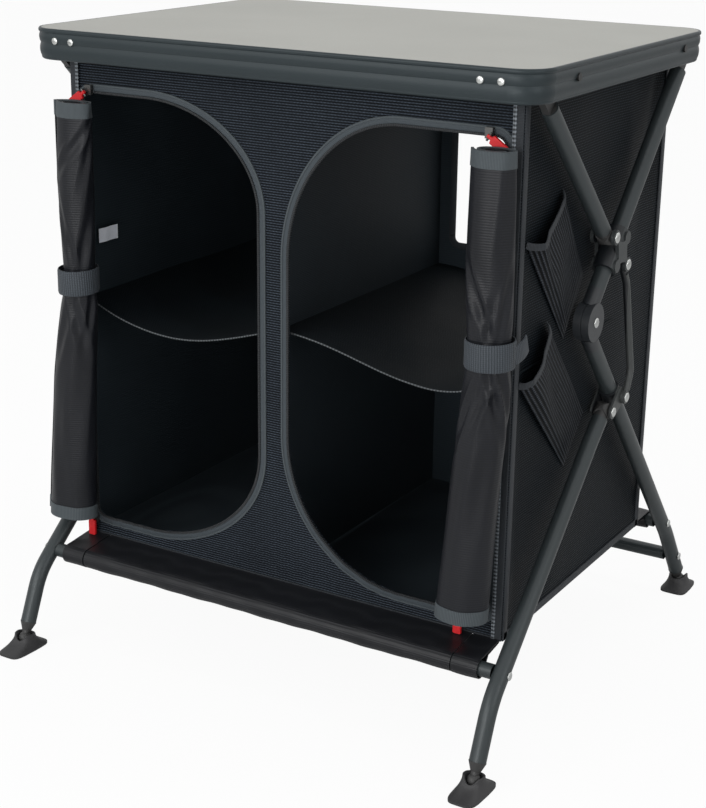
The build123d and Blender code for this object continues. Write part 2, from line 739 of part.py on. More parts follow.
def front_slab(outline, y0, y1):
    """A flat piece from an outline in (x, z), between two values of y, the nearer to the front first."""
    plane = Plane(origin=(0, y1, 0), x_dir=(1, 0, 0), z_dir=(0, -1, 0))
    return extrude(plane * outline, y1 - y0)


def cabinet():
    """The fabric cabinet: walls, floor, roof, divider and two sagging shelves."""
    wall = front_outline(-side_face, side_face, cabinet_bottom, cabinet_top)
    doors = [door_outline(True), door_outline(False)]
    save("front_wall", [front_slab(wall - doors[0] - doors[1], -front_face, -front_face + cloth)])
    window = front_outline(column_centre + window_inset, side_face - window_inset, window_low, window_high)
    window = fillet(window.vertices(), window_corner)
    save("back_wall", [front_slab(wall - window, front_face - cloth, front_face)])
    inside = front_face - cloth
    side = Pos(0, (cabinet_bottom + cabinet_top) / 2) * Rectangle(2 * inside, cabinet_top - cabinet_bottom)
    for node, solid in zip(("right_side_wall", "left_side_wall"), both(plate(side, side_face - cloth, side_face))):
        save(node, [solid])
    sheet = Rectangle(2 * (side_face - cloth), 2 * inside)
    save("cabinet_floor", [Pos(0, 0, cabinet_bottom) * extrude(sheet, cloth)])
    save("cabinet_roof", [Pos(0, 0, cabinet_top - cloth) * extrude(sheet, cloth)])
    low, high = cabinet_bottom + cloth, cabinet_top - cloth
    middle = front_outline(column_centre - cloth / 2, column_centre + cloth / 2, low, high)
    save("centre_divider", [front_slab(middle, -inside, inside)])
    for node, x0, x1 in (("left_shelf", cloth - side_face, column_centre - cloth / 2),
                         ("right_shelf", column_centre + cloth / 2, side_face - cloth)):
        top = ThreePointArc((x0, shelf_height), ((x0 + x1) / 2, shelf_height - shelf_sag), (x1, shelf_height))
        base = Pos(0, -shelf_thickness) * top
        section = make_face([top, Line(top @ 1, base @ 1), base, Line(base @ 0, top @ 0)])
        save(node, [front_slab(section, shelf_setback - front_face, inside)])
    for node, outline, left in (("left_zip", doors[0], True), ("right_zip", doors[1], False)):
        tape = door_outline(left, zip_width) - outline
        save(node, [front_slab(tape, -front_face - zip_thickness, -front_face)])
    pockets_at = [[moved(point) for point in drawn] for drawn in (upper_pocket_drawn, lower_pocket_drawn)]
    pockets = [plate(make_face(Polyline(*p, close=True)), side_face + pocket_gap,
                     side_face + pocket_gap + pocket_thickness) for p in pockets_at]
    save("side_pockets", both(*pockets))


def door_roll(x, lean):
    """A rolled-up door hung beside its doorway, and the strap round its waist."""
    depth = front_face + zip_thickness + soft_gap + roll_foot_radius
    waist_low = strap_height - strap_width / 2 - roll_bottom
    waist_high = strap_height + strap_width / 2 - roll_bottom
    height = roll_top - roll_bottom
    outline = Polyline((0, 0), (roll_foot_radius, 0), (roll_middle_radius, waist_low - roll_taper),
                       (roll_waist_radius, waist_low), (roll_waist_radius, waist_high),
                       (roll_middle_radius, waist_high + roll_taper), (roll_top_radius, height), (0, height), close=True)
    roll = revolve(Plane.XZ * make_face(outline), Axis.Z)
    ring = Pos(0, 0, waist_low) * extrude(Circle(roll_waist_radius + soft_gap + strap_thickness)
                                          - Circle(roll_waist_radius + soft_gap), strap_width)
    tab_depth = roll_foot_radius - roll_waist_radius - soft_gap - strap_thickness / 2
    tab = Pos(0, roll_waist_radius + soft_gap + strap_thickness / 2 + tab_depth / 2,
              (waist_low + waist_high) / 2) * Box(strap_thickness * 3, tab_depth, strap_width)
    top = Pos(x, -depth, roll_top) * Rot(0, lean, 0) * Pos(0, 0, -height)
    return top * roll, top * (ring + tab)


def doors():
    """Both rolled doors and their straps."""
    left, left_strap = door_roll(-roll_top_x, left_roll_lean)
    right, right_strap = door_roll(roll_top_x, right_roll_lean)
    save("left_door_roll", [left])
    save("right_door_roll", [right])
    save("roll_straps", [left_strap, right_strap])


def slider(x, z):
    """The body of a zip slider, on the front of its tape."""
    face = -front_face - zip_thickness - soft_gap / 3
    return Pos(x, face - slider_depth / 2, z) * Box(slider_width, slider_depth, slider_height)


def pull(way, hinge, axis):
    """A cord pull that swings about a thin pin at its upper end."""
    start = Vector(*hinge)
    solid = bar(start - way * pull_head, start + way * pull_length, pull_radius)
    solid = fillet(solid.edges(), pull_round)
    return solid - bar(start - axis * cut_past, start + axis * cut_past, pull_bore)


def zip_sliders():
    """The four zip sliders, one at each end of each zip, with their pulls."""
    face = -front_face - zip_thickness - soft_gap / 3 - slider_depth
    levels = (("top", door_high + zip_width / 2, top_slider_insets, top_pull_slope, top_pull_shift),
              ("low", door_low - zip_width / 2, low_slider_insets, low_pull_slope, low_pull_shift))
    for level, z, insets, slope, shift in levels:
        turn = radians(slope)
        sliders = []
        for name, side, inset in zip(("left", "right"), (-1, 1), insets):
            x = side * (door_outer - inset)
            way = Vector(side * cos(turn), 0, -sin(turn))
            axis = Vector(side * sin(turn), 0, cos(turn))
            hinge = (x + side * shift[0], face - pull_reach, z + shift[1])
            sliders.append(slider(x, z) + slider_ear(hinge, axis, face))
            save(f"{name}_{level}_pull", [pull(way, hinge, axis)])
        save(f"{level}_zip_sliders", sliders)


def slider_ear(hinge, axis, face):
    """A thin pin through the pull, held out from the slider by two short arms."""
    start = Vector(*hinge)
    ear = bar(start - axis * ear_half, start + axis * ear_half, pull_pin_radius)
    for side in (-1, 1):
        arm = start + axis * side * (ear_half - ear_arm_setback)
        ear += bar(arm, Vector(arm.X, face + slider_depth / 2, arm.Z), ear_arm_radius)
    return ear


def rail_sleeve(rail, wall_y, front):
    """A sewn sleeve round a rail, joined to the cabinet wall's lower edge by a sloping flap."""
    inner = rail_radius + soft_gap
    outer = inner + sleeve_cloth
    ring = Pos(*rail) * (Circle(outer) - Circle(inner))
    side = -1 if front else 1
    flap_top = (wall_y + side * soft_gap, sleeve_join)
    flap = make_face(Polyline((rail[0] - side * flap_inner, rail[1] + inner + flap_bite),
                              (rail[0] + side * flap_outer, rail[1] + outer - flap_bite),
                              (flap_top[0] + side * sleeve_cloth, flap_top[1]), flap_top,
                              (flap_top[0], flap_top[1] - flap_lip), close=True))
    section = ring + flap
    return [plate(section, -sleeve_reach, sleeve_reach), plate(section, loop_from, loop_to),
            plate(section, -loop_to, -loop_from)]


def rail_sleeves():
    """The sleeves and end loops on the front rail and on the upper rear rail."""
    save("front_rail_sleeve", rail_sleeve(front_rail, -front_face, True))
    save("rear_rail_sleeve", rail_sleeve(rear_rails[0], front_face, False))


worktop()
hinge_brackets()
upper_front_frame()
clamp()
upper_rear_frame()
rear_leg_frame()
link_bars()
front_leg_frame()
feet()
cabinet()
doors()
zip_sliders()
rail_sleeves()

print("rear tube leans", round(degrees(atan2(rear_up[1], rear_up[0])), 2), "degrees")
print("clamp middle from the knuckle", round(clamp_middle, 1))
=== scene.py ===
# %% [markdown]
# A folding camping kitchen cupboard. A board in a satin metal rim stands on two folding side frames,
# and a cloth cabinet hangs between them with its two doors rolled up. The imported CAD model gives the
# true sizes and places; this lesson dresses it with cloth, trim and finishes.

# %% Load the frame
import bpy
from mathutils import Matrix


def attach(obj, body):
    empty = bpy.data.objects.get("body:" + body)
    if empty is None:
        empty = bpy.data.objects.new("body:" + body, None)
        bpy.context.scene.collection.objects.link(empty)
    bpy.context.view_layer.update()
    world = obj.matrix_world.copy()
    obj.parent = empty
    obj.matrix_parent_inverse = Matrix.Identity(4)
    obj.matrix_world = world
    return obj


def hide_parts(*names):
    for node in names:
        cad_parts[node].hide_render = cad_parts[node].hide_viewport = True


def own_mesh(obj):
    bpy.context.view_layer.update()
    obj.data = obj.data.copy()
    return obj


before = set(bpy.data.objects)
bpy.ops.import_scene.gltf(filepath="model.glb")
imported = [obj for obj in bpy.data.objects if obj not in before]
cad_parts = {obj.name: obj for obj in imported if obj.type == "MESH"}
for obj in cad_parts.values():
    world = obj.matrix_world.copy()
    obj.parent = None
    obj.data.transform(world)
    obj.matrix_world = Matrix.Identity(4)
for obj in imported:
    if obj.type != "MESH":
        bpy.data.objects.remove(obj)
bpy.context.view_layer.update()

import math
import bpy
import numpy as np
from mathutils import Matrix, Vector

bpy.context.scene.view_settings.view_transform = "Standard"

# %% [markdown]
# All places are in metres, in the frame of the CAD model: X to the right, Y to the back and Z up, from
# the ground under the middle of the worktop. The cabinet is a box of cloth between these limits, and
# the rails, pivots and feet are where the CAD model has them. The barrels of clamps and brackets lie
# between two distances from the middle.

# %% Places
roof_z = 0.7682
floor_z = 0.133
half_x = 0.3056
half_y = 0.2077
front_rail = (-0.254, 0.118)
rear_rail = (0.258, 0.1226)
low_rear_rail = (0.3015, 0.058)
ball_z = 0.014
foot_x, front_foot_y, rear_foot_y = 0.33, -0.317, 0.326
clamp_pivots = ((-0.011, 0.577), (0.029, 0.537))
knuckle, crossing, link_foot = (-0.046, 0.482), (0.017, 0.355), (0.0435, 0.3676)
barrel_inner, barrel_outer = 0.3115, 0.3335
wall_wide, wall_high, wall_thick = 0.611, 0.635, 0.0012
front_thick, shelf_thick, door_thick = 0.0014, 0.0014, 0.0011
band_thick, mesh_thick, sleeve_thick, tab_thick = 0.003, 0.0006, 0.0011, 0.0004
rim_out, rim_rivet_z = 0.2475, 0.779
print("cabinet is", round(2 * half_x, 3), "wide and", round(roof_z - floor_z, 3), "high")

# %% [markdown]
# The camera stands where the photographer stood: to the right of the front, a little above the
# worktop. Its turn, rise and lens were fitted to the edges of the rim and the feet, so that pieces
# can be compared with the photograph point by point.

# %% Camera
turn, rise, roll = 0.5372, 0.3261, 0.0131
behind = Vector((math.sin(turn) * math.cos(rise), -math.cos(turn) * math.cos(rise), math.sin(rise)))
level = Vector((0, 0, 1)).cross(behind).normalized()
over = behind.cross(level)
camera = bpy.data.objects.new("camera", bpy.data.cameras.new("camera"))
bpy.context.collection.objects.link(camera)
axes = Matrix((level * math.cos(roll) + over * math.sin(roll),
               over * math.cos(roll) - level * math.sin(roll), behind)).transposed().to_4x4()
aim, distance = Vector((0.01137, -0.05681, 0.32624)), 2.13745
axes.translation = aim + behind * distance
camera.matrix_world = axes
camera.data.sensor_width = 36.0
camera.data.lens = 74.4
camera.data.clip_end = 100.0
bpy.context.scene.camera = camera
print("camera at", [round(v, 3) for v in camera.location])

# %% [markdown]
# Shader sums are easier to read as sums. A Wire is one output socket of a material, and adding or
# multiplying wires adds the Math nodes that do it. Every other node comes from one method, which
# takes the node's type, its settings and the values or wires of its sockets.

# %% Wires and finishes
class Wire:
    """One output socket of a finish, which can be used in sums."""

    def __init__(self, finish, socket):
        self.finish = finish
        self.socket = socket

    def math(self, operation, first, second):
        return self.finish.node("ShaderNodeMath", {"operation": operation}, {0: first, 1: second})

    def __add__(self, other):
        return self.math("ADD", self, other)

    def __sub__(self, other):
        return self.math("SUBTRACT", self, other)

    def __rsub__(self, other):
        return self.math("SUBTRACT", other, self)

    def __mul__(self, other):
        return self.math("MULTIPLY", self, other)

    def __pow__(self, other):
        return self.math("POWER", self, other)

    def __gt__(self, other):
        return self.math("GREATER_THAN", self, other)


class Finish:
    """A material on one Principled shader, built from wires."""

    def __init__(self, name):
        self.material = bpy.data.materials.new(name)
        self.material.use_nodes = True
        self.tree = self.material.node_tree
        self.tree.nodes.clear()
        self.shader = self.tree.nodes.new("ShaderNodeBsdfPrincipled")
        out = self.tree.nodes.new("ShaderNodeOutputMaterial")
        self.tree.links.new(self.shader.outputs[0], out.inputs[0])

    def plug(self, socket, value):
        if isinstance(value, Wire):
            self.tree.links.new(value.socket, socket)
        elif hasattr(value, "__len__") and len(value) == 3 and socket.type == "RGBA":
            socket.default_value = (*value, 1.0)
        else:
            socket.default_value = value

    def node(self, kind, settings, values, out=0):
        made = self.tree.nodes.new(kind)
        for name, value in settings.items():
            setattr(made, name, value)
        for name, value in values.items():
            self.plug(made.inputs[name], value)
        return Wire(self, made.outputs[out])

    def axis(self, letter):
        """The X, Y or Z of each point of the object, in metres."""
        spot = self.node("ShaderNodeTexCoord", {}, {}, "Object")
        return self.node("ShaderNodeSeparateXYZ", {}, {0: spot}, "XYZ".index(letter))

    def along(self, out):
        """The distance along (0) or across (1) a swept piece, in metres, from its own map."""
        spot = self.node("ShaderNodeTexCoord", {}, {}, "UV")
        return self.node("ShaderNodeSeparateXYZ", {}, {0: spot}, out)

    def spot(self, letter):
        """One coordinate of the object (X, Y or Z) or of a piece's own map (U or V), in metres."""
        return self.axis(letter) if letter in "XYZ" else self.along("UV".index(letter))

    def outward(self):
        """1 on faces that look away from the middle of the cabinet, and 0 on those that look in."""
        spot = self.node("ShaderNodeTexCoord", {}, {}, "Object")
        flat = self.node("ShaderNodeVectorMath", {"operation": "MULTIPLY"}, {0: spot, 1: (1, 1, 0)})
        facing = self.node("ShaderNodeTexCoord", {}, {}, "Normal")
        return self.node("ShaderNodeVectorMath", {"operation": "DOT_PRODUCT"}, {0: flat, 1: facing}, 1) > 0

    def wave(self, place, pitch):
        """Ridges from 0 to 1, one for each pitch of the distance given."""
        turned = place * (2 * math.pi / pitch)
        sine = self.node("ShaderNodeMath", {"operation": "SINE"}, {0: turned})
        return sine * 0.5 + 0.5

    def clouds(self, scale, detail):
        """Soft noise from 0 to 1."""
        spot = self.node("ShaderNodeTexCoord", {}, {}, "Object")
        return self.node("ShaderNodeTexNoise", {}, {"Vector": spot, "Scale": scale, "Detail": detail})

    def between(self, mask, dark, light):
        """A colour that goes from dark to light with the mask."""
        return self.node("ShaderNodeMix", {"data_type": "RGBA"}, {0: mask, 6: dark, 7: light}, 2)

    def relief(self, height, depth):
        """The normal of a surface with this height, times a depth in metres."""
        return self.node("ShaderNodeBump", {}, {"Height": height, "Distance": depth, "Strength": 0.8})

    def surface(self, values):
        for name, value in values.items():
            self.plug(self.shader.inputs[name], value)
        return self


print("wires and finishes are ready")

# %% [markdown]
# The studio is a pale floor under a plain bright sky, with soft lamps. What the camera sees of the
# floor is lifted towards white, so that the dark cloth stands out as it does in the photograph, while
# the floor still keeps the shadow under the feet.

# %% Floor, sky and lamps
floor_mesh = bpy.data.meshes.new("floor")
floor_mesh.from_pydata([(-30, -30, -0.0006), (30, -30, -0.0006), (30, 30, -0.0006), (-30, 30, -0.0006)],
                       [], [(0, 1, 2, 3)])
floor = bpy.data.objects.new("floor", floor_mesh)
bpy.context.collection.objects.link(floor)
paint = Finish("floor paint").surface({"Base Color": (0.84, 0.84, 0.84), "Roughness": 0.9,
                                       "Specular IOR Level": 0.1})
seen = paint.node("ShaderNodeLightPath", {}, {}, "Is Camera Ray")
glow = paint.node("ShaderNodeEmission", {}, {"Color": (1, 1, 1), "Strength": 1.0})
lit = Wire(paint, paint.shader.outputs[0])
mixed = paint.node("ShaderNodeMixShader", {}, {0: seen * 0.94, 1: lit, 2: glow})
paint_out = next(n for n in paint.tree.nodes if n.type == "OUTPUT_MATERIAL")
paint.tree.links.new(mixed.socket, paint_out.inputs[0])
floor_mesh.materials.append(paint.material)

world = bpy.data.worlds.new("sky")
bpy.context.scene.world = world
world.use_nodes = True
tree = world.node_tree
rays = tree.nodes.new("ShaderNodeLightPath")
sky = next(n for n in tree.nodes if n.type == "BACKGROUND")
sky.inputs["Color"].default_value = (1, 1, 1, 1)
either = tree.nodes.new("ShaderNodeMath")
either.operation = "MAXIMUM"
tree.links.new(rays.outputs["Is Camera Ray"], either.inputs[0])
tree.links.new(rays.outputs["Is Glossy Ray"], either.inputs[1])
level_of = tree.nodes.new("ShaderNodeMapRange")
level_of.inputs["To Min"].default_value = 0.55
level_of.inputs["To Max"].default_value = 1.0
tree.links.new(either.outputs[0], level_of.inputs["Value"])
tree.links.new(level_of.outputs[0], sky.inputs["Strength"])


def lamp(name, place, aim, size, power):
    """A square soft lamp that looks at a point."""
    light = bpy.data.lights.new(name, "AREA")
    light.size = size
    light.energy = power
    holder = bpy.data.objects.new(name, light)
    bpy.context.collection.objects.link(holder)
    holder.location = place
    holder.rotation_euler = (Vector(aim) - Vector(place)).to_track_quat("-Z", "Y").to_euler()


lamp("front left lamp", (-1.0, -2.8, 1.7), (0, 0, 0.45), 1.5, 26)
lamp("right lamp", (2.8, -0.9, 1.5), (0.2, 0, 0.4), 1.3, 12)
lamp("fill lamp", (0.45, -3.2, 0.95), (-0.05, 0, 0.4), 1.4, 34)
lamp("top lamp", (0.2, 0.3, 2.9), (0, 0, 0.6), 1.8, 20)
print("floor, sky and four lamps")

# %% [markdown]
# The board is a pale laminate with a fine speckle. Two sizes of noise give it: small dark grains,
# and a much fainter change from place to place, so that a large flat face doesn't look like paint.

# %% Board finish
laminate = Finish("speckled laminate")
grains = laminate.clouds(900.0, 1.0)
drift = laminate.clouds(6.0, 2.0)
tone = laminate.between(grains * 0.55 + drift * 0.25, (0.25, 0.25, 0.23), (0.46, 0.46, 0.425))
laminate.surface({"Base Color": tone, "Roughness": grains * 0.12 + 0.5,
                  "Normal": laminate.relief(grains, 0.00012), "Specular IOR Level": 0.35})


# %% [markdown]
# The rim, tubes, braces and rivets are satin paint or metal. They differ in colour and in how fine the
# grain is, so one function makes them all, with a little noise in the colour and the roughness to
# break up the highlights. Clamps and brackets have painted plates round a black plastic barrel, so
# their finish changes with the distance from the middle of the cupboard.

# %% Metal finishes
def satin(name, colour, metal, rough, grain=500.0, gloss=0.5, depth=0.00005):
    """A satin metal or paint whose gloss changes a little from place to place."""
    made = Finish(name)
    fine = made.clouds(grain, 2.0)
    broad = made.clouds(9.0, 2.0)
    lighter = tuple(min(1.0, c * 1.35) for c in colour)
    made.surface({"Base Color": made.between(broad * 0.6 + fine * 0.25, colour, lighter),
                  "Metallic": metal, "Roughness": fine * 0.16 + broad * 0.1 + rough - 0.13,
                  "Normal": made.relief(fine, depth), "Specular IOR Level": gloss})
    return made


def barrelled(name, plates, barrel, inner, outer):
    """Satin paint on plates at both sides of a black barrel, which lies between two distances in X."""
    made = Finish(name)
    away = made.node("ShaderNodeMath", {"operation": "ABSOLUTE"}, {0: made.axis("X")})
    core = (away > inner) * (outer - away > 0)
    fine = made.clouds(350.0, 2.0)
    made.surface({"Base Color": made.between(core, plates, barrel), "Metallic": (1 - core) * 0.2,
                  "Roughness": fine * 0.16 + 0.4, "Normal": made.relief(fine, 0.0002),
                  "Specular IOR Level": 0.4})
    return made


rim_finish = satin("satin rim", (0.019, 0.026, 0.029), 0.2, 0.42, 700.0, 0.25)
tube_finish = satin("satin tube", (0.025, 0.031, 0.033), 0.2, 0.40, 600.0, 0.4)
brace_finish = satin("brace paint", (0.014, 0.016, 0.017), 0.2, 0.5)
silver = satin("polished rivet", (0.42, 0.43, 0.42), 0.95, 0.26)
black_screw = satin("black screw", (0.012, 0.012, 0.012), 0.3, 0.4)
cast_finish = barrelled("cast clamp", (0.035, 0.0395, 0.041), (0.007, 0.0088, 0.011),
                        barrel_inner, barrel_outer)
bracket_finish = barrelled("painted bracket", (0.046, 0.05, 0.05), (0.008, 0.0095, 0.0115),
                           barrel_inner, barrel_outer)
slider_finish = satin("zip slider", (0.1, 0.1, 0.098), 0.9, 0.3)
print("paint and metal finishes are ready")


# %% [markdown]
# Moulded plastic and rubber have a fine even grain from the mould, and are much duller than metal.
# The two locking buttons and the zip pulls are the only bright things on the cupboard.

# %% Plastic and rubber finishes
def moulded(name, colour, rough, grain, depth):
    """A moulded plastic or rubber with a fine grain."""
    made = Finish(name)
    fine = made.clouds(grain, 3.0)
    made.surface({"Base Color": made.between(fine, colour, tuple(c * 1.5 for c in colour)),
                  "Roughness": fine * 0.2 + rough - 0.1, "Normal": made.relief(fine, depth)})
    return made


knuckle_finish = moulded("moulded knuckle", (0.012, 0.014, 0.0165), 0.44, 900.0, 0.0001)
plug_finish = moulded("moulded plug", (0.02, 0.02, 0.02), 0.55, 900.0, 0.0001)
rubber = moulded("foot rubber", (0.016, 0.016, 0.017), 0.62, 500.0, 0.0002)
red_plastic = moulded("red button", (0.55, 0.02, 0.015), 0.34, 700.0, 0.00005)
red_cord = moulded("red pull", (0.44, 0.004, 0.007), 0.55, 900.0, 0.0002)


# %% [markdown]
# The cabinet's cloth is a coarse weave with a rib across it. The rib is a sine of the height, and a
# second sine across it breaks each rib into stitches. Where a wall faces along Y or X the stitches
# run along the other axis, so each wall is told which axis is across. The same two sines make the
# colour and the relief: the raised threads are painted lighter and the grooves darker, which is
# partly the weave's own pattern and partly painted light and shade.

# %% Cloth finishes
def ribbed(name, dark, light, across, up="Z", pitch=0.0031, stitch=0.0046, depth=0.0008, rough=0.6,
           inner=None):
    """A woven cloth whose ribs run across, one for each pitch of the way up, and hardly show inside."""
    made = Finish(name)
    rib = made.wave(made.spot(up), pitch) ** 1.8
    dash = made.wave(made.spot(across) + made.wave(made.spot(up), pitch * 2) * stitch * 0.5, stitch)
    weave = rib * (dash * 0.5 + 0.5)
    wear = made.clouds(7.0, 3.0)
    patchy = made.clouds(150.0, 2.0)
    # The weave's light crests and dark grooves are partly its real pattern and partly painted light and
    # shade.
    colour = made.between(weave * (wear * 0.9 + patchy * 0.7), dark, light)
    # The inside faces take lighter colours of their own: painted light for the dim inside of the cabinet.
    if inner:
        out = made.outward()
        colour = made.between(out, made.between(weave * 0.3 + wear * 0.6, *inner), colour)
        weave = weave * (out * 0.8 + 0.2)
    made.surface({"Base Color": colour, "Roughness": wear * 0.2 + rough - 0.1 - weave * 0.12,
                  "Normal": made.relief(weave, depth), "Sheen Weight": 0.008, "Sheen Roughness": 0.45,
                  "Specular IOR Level": 0.07})
    return made


def plain(name, dark, light, pitch, rough, depth=0.0003, gloss=0.15, level=0.0):
    """A fine weave of squares, or of level threads only as far as asked."""
    made = Finish(name)
    threads = made.wave(made.axis("Z"), pitch)
    weave = threads * (made.wave(made.axis("Y"), pitch) * (1 - level) + level)
    wear = made.clouds(11.0, 3.0)
    made.surface({"Base Color": made.between(weave * 0.5 + wear * 0.5, dark, light),
                  "Roughness": wear * 0.16 + rough - 0.08, "Normal": made.relief(weave, depth),
                  "Sheen Weight": 0.01, "Sheen Roughness": 0.4, "Specular IOR Level": gloss})
    return made


# Lighter colours for the inside faces of the walls, which are painted light for the dim inside.
inside_painted_light = ((0.011, 0.0155, 0.019), (0.031, 0.041, 0.049))
front_cloth = ribbed("ribbed front cloth", (0.0024, 0.0033, 0.0045), (0.062, 0.078, 0.1), "X",
                     depth=0.0012, inner=inside_painted_light)
# The side walls are the front's cloth in darker colours, which is painted shade.
side_cloth_painted_shade = ribbed("ribbed side cloth in painted shade", (0.0008, 0.0013, 0.0019), (0.0145, 0.022, 0.0295), "Y",
                    inner=inside_painted_light)
lining = plain("lining cloth", (0.013, 0.018, 0.022), (0.035, 0.045, 0.054), 0.0022, 0.6)
shelf_cloth = ribbed("shelf cloth", (0.004, 0.006, 0.0076), (0.015, 0.0205, 0.025), "X", "Y",
                     pitch=0.003, stitch=0.0034, depth=0.0003)
roll_cloth = plain("door cloth", (0.0028, 0.0031, 0.0042), (0.0112, 0.0126, 0.0165), 0.0029, 0.42,
                   depth=0.00013, gloss=0.22, level=0.9)
sleeve_cloth = plain("sleeve cloth", (0.004, 0.0044, 0.0056), (0.0125, 0.0134, 0.0162), 0.0024, 0.4,
                     gloss=0.25)
pocket_mesh = ribbed("pocket mesh", (0.001, 0.0014, 0.0019), (0.061, 0.069, 0.082), "V", "U",
                     pitch=0.0052, stitch=0.0042, depth=0.0022, rough=0.5)
label_cloth = plain("label cloth", (0.7, 0.73, 0.8), (0.84, 0.87, 0.92), 0.0009, 0.7)


# %% [markdown]
# Tapes, webbing and bindings are woven along their length, so their ribs follow the piece wherever it
# bends. Swept pieces carry a map whose first coordinate is the distance along them.

# %% Tape finishes
def woven_tape(name, dark, light, pitch, depth, rough=0.62):
    """A narrow woven tape with ribs across its length."""
    made = Finish(name)
    rib = made.wave(made.along(0), pitch)
    thread = made.wave(made.along(1), pitch * 0.8)
    weave = rib * 0.7 + thread * 0.3
    made.surface({"Base Color": made.between(weave, dark, light), "Roughness": rough - weave * 0.1,
                  "Normal": made.relief(weave, depth), "Sheen Weight": 0.03, "Specular IOR Level": 0.2})
    return made


binding_tape = woven_tape("grey binding", (0.03, 0.037, 0.042), (0.074, 0.088, 0.096), 0.0016, 0.0003)
dark_binding = woven_tape("dark binding", (0.013, 0.015, 0.018), (0.034, 0.039, 0.045), 0.0016, 0.0003)
webbing = woven_tape("strap webbing", (0.018, 0.022, 0.026), (0.058, 0.068, 0.08), 0.0028, 0.0005)
zip_tape = woven_tape("zip tape", (0.026, 0.033, 0.038), (0.062, 0.075, 0.086), 0.0014, 0.0003)
stitching = woven_tape("hem stitching", (0.008, 0.01, 0.011), (0.15, 0.165, 0.175), 0.0042, 0.0004)
corner_teeth = woven_tape("corner stitches", (0.002, 0.0025, 0.003), (0.2, 0.225, 0.25), 0.0046,
                          0.0008, 0.5)
zip_teeth = woven_tape("zip teeth", (0.003, 0.003, 0.003), (0.03, 0.034, 0.038), 0.0022, 0.0008, 0.4)
print("all finishes are ready")

# %% [markdown]
# The CAD nodes whose shape is right stay, and only get a finish. A fine bevel on the clamps, brackets
# and knuckles catches the light along their edges, as on a moulded or cast part.

# %% Dress the rigid parts
dressed = {
    "worktop_panel": laminate, "worktop_rim": rim_finish, "underside_braces": brace_finish,
    "front_hinge_brackets": brace_finish, "rear_hinge_brackets": brace_finish, "hinge_pins": silver,
    "rim_screws": black_screw, "upper_front_tubes": tube_finish, "upper_rear_tubes": tube_finish,
    "rear_leg_tubes": tube_finish, "front_leg_tubes": tube_finish, "front_cross_rail": tube_finish,
    "rear_rails": tube_finish, "upper_front_tube_ends": plug_finish, "upper_rear_tube_ends": plug_finish,
    "front_leg_tube_ends": plug_finish, "rear_foot_plugs": plug_finish, "front_foot_plugs": plug_finish,
    "clamps": cast_finish, "cross_brackets": bracket_finish, "link_bars": bracket_finish,
    "knuckle_outer_halves": knuckle_finish, "knuckle_inner_halves": knuckle_finish,
    "button_right": red_plastic, "button_left": red_plastic,
    "top_zip_sliders": slider_finish, "low_zip_sliders": slider_finish,
}
for node, finish in dressed.items():
    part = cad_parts[node]
    for held in part.material_slots:
        held.material = finish.material
for node in ("clamps", "cross_brackets", "knuckle_outer_halves", "knuckle_inner_halves"):
    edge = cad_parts[node].modifiers.new("soft edges", "BEVEL")
    edge.width = 0.0006
    edge.segments = 2
    edge.limit_method = "ANGLE"
    edge.angle_limit = math.radians(40)
print("rigid nodes dressed:", len(dressed))


# %% [markdown]
# Two helpers make nearly every piece here. One thickens a grid of points into cloth with two faces
# and an edge. The other sweeps a small section along a path, for tape, piping and webbing.

# %% Mesh helpers
def piece(name, points, faces, body, finish, maps=None):
    """A new piece from points and faces, riding on a body."""
    mesh = bpy.data.meshes.new(name)
    mesh.from_pydata([tuple(p) for p in points], [], [tuple(int(i) for i in f) for f in faces])
    mesh.update()
    if maps is not None:
        layer = mesh.uv_layers.new(name="map")
        corners = np.empty(len(mesh.loops), dtype=np.int32)
        mesh.loops.foreach_get("vertex_index", corners)
        layer.data.foreach_set("uv", np.asarray(maps, dtype=np.float32)[corners].ravel())
    mesh.shade_smooth()
    mesh.set_sharp_from_angle(angle=math.radians(38))
    mesh.materials.append(finish.material)
    made = bpy.data.objects.new(name, mesh)
    bpy.context.collection.objects.link(made)
    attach(made, body)
    return made


def cells(rows, columns, ring=False):
    """The faces of a grid of rows by columns of points, closed across the columns for a ring."""
    faces = []
    for r in range(rows - 1):
        for c in range(columns if ring else columns - 1):
            d = (c + 1) % columns
            faces.append((r * columns + c, r * columns + d, (r + 1) * columns + d, (r + 1) * columns + c))
    return np.array(faces)


def thicken(points, faces, thickness):
    """Points and faces of a sheet with two faces and its edges."""
    points = np.asarray(points, float).reshape(-1, 3)
    a, b, c, d = (points[faces[:, i]] for i in range(4))
    facing = np.cross(c - a, d - b)
    normals = np.zeros_like(points)
    for i in range(4):
        np.add.at(normals, faces[:, i], facing)
    normals /= np.maximum(np.linalg.norm(normals, axis=1), 1e-12)[:, None]
    count = len(points)
    runs = np.concatenate([faces[:, [i, (i + 1) % 4]] for i in range(4)])
    known = {(int(p), int(q)) for p, q in runs}
    edges = [(p, q) for p, q in known if (q, p) not in known]
    sides = [(q, p, p + count, q + count) for p, q in sorted(edges)]
    both_sides = [tuple(f) for f in faces] + [tuple(f[::-1] + count) for f in faces] + sides
    return np.concatenate([points, points - normals * thickness]), both_sides


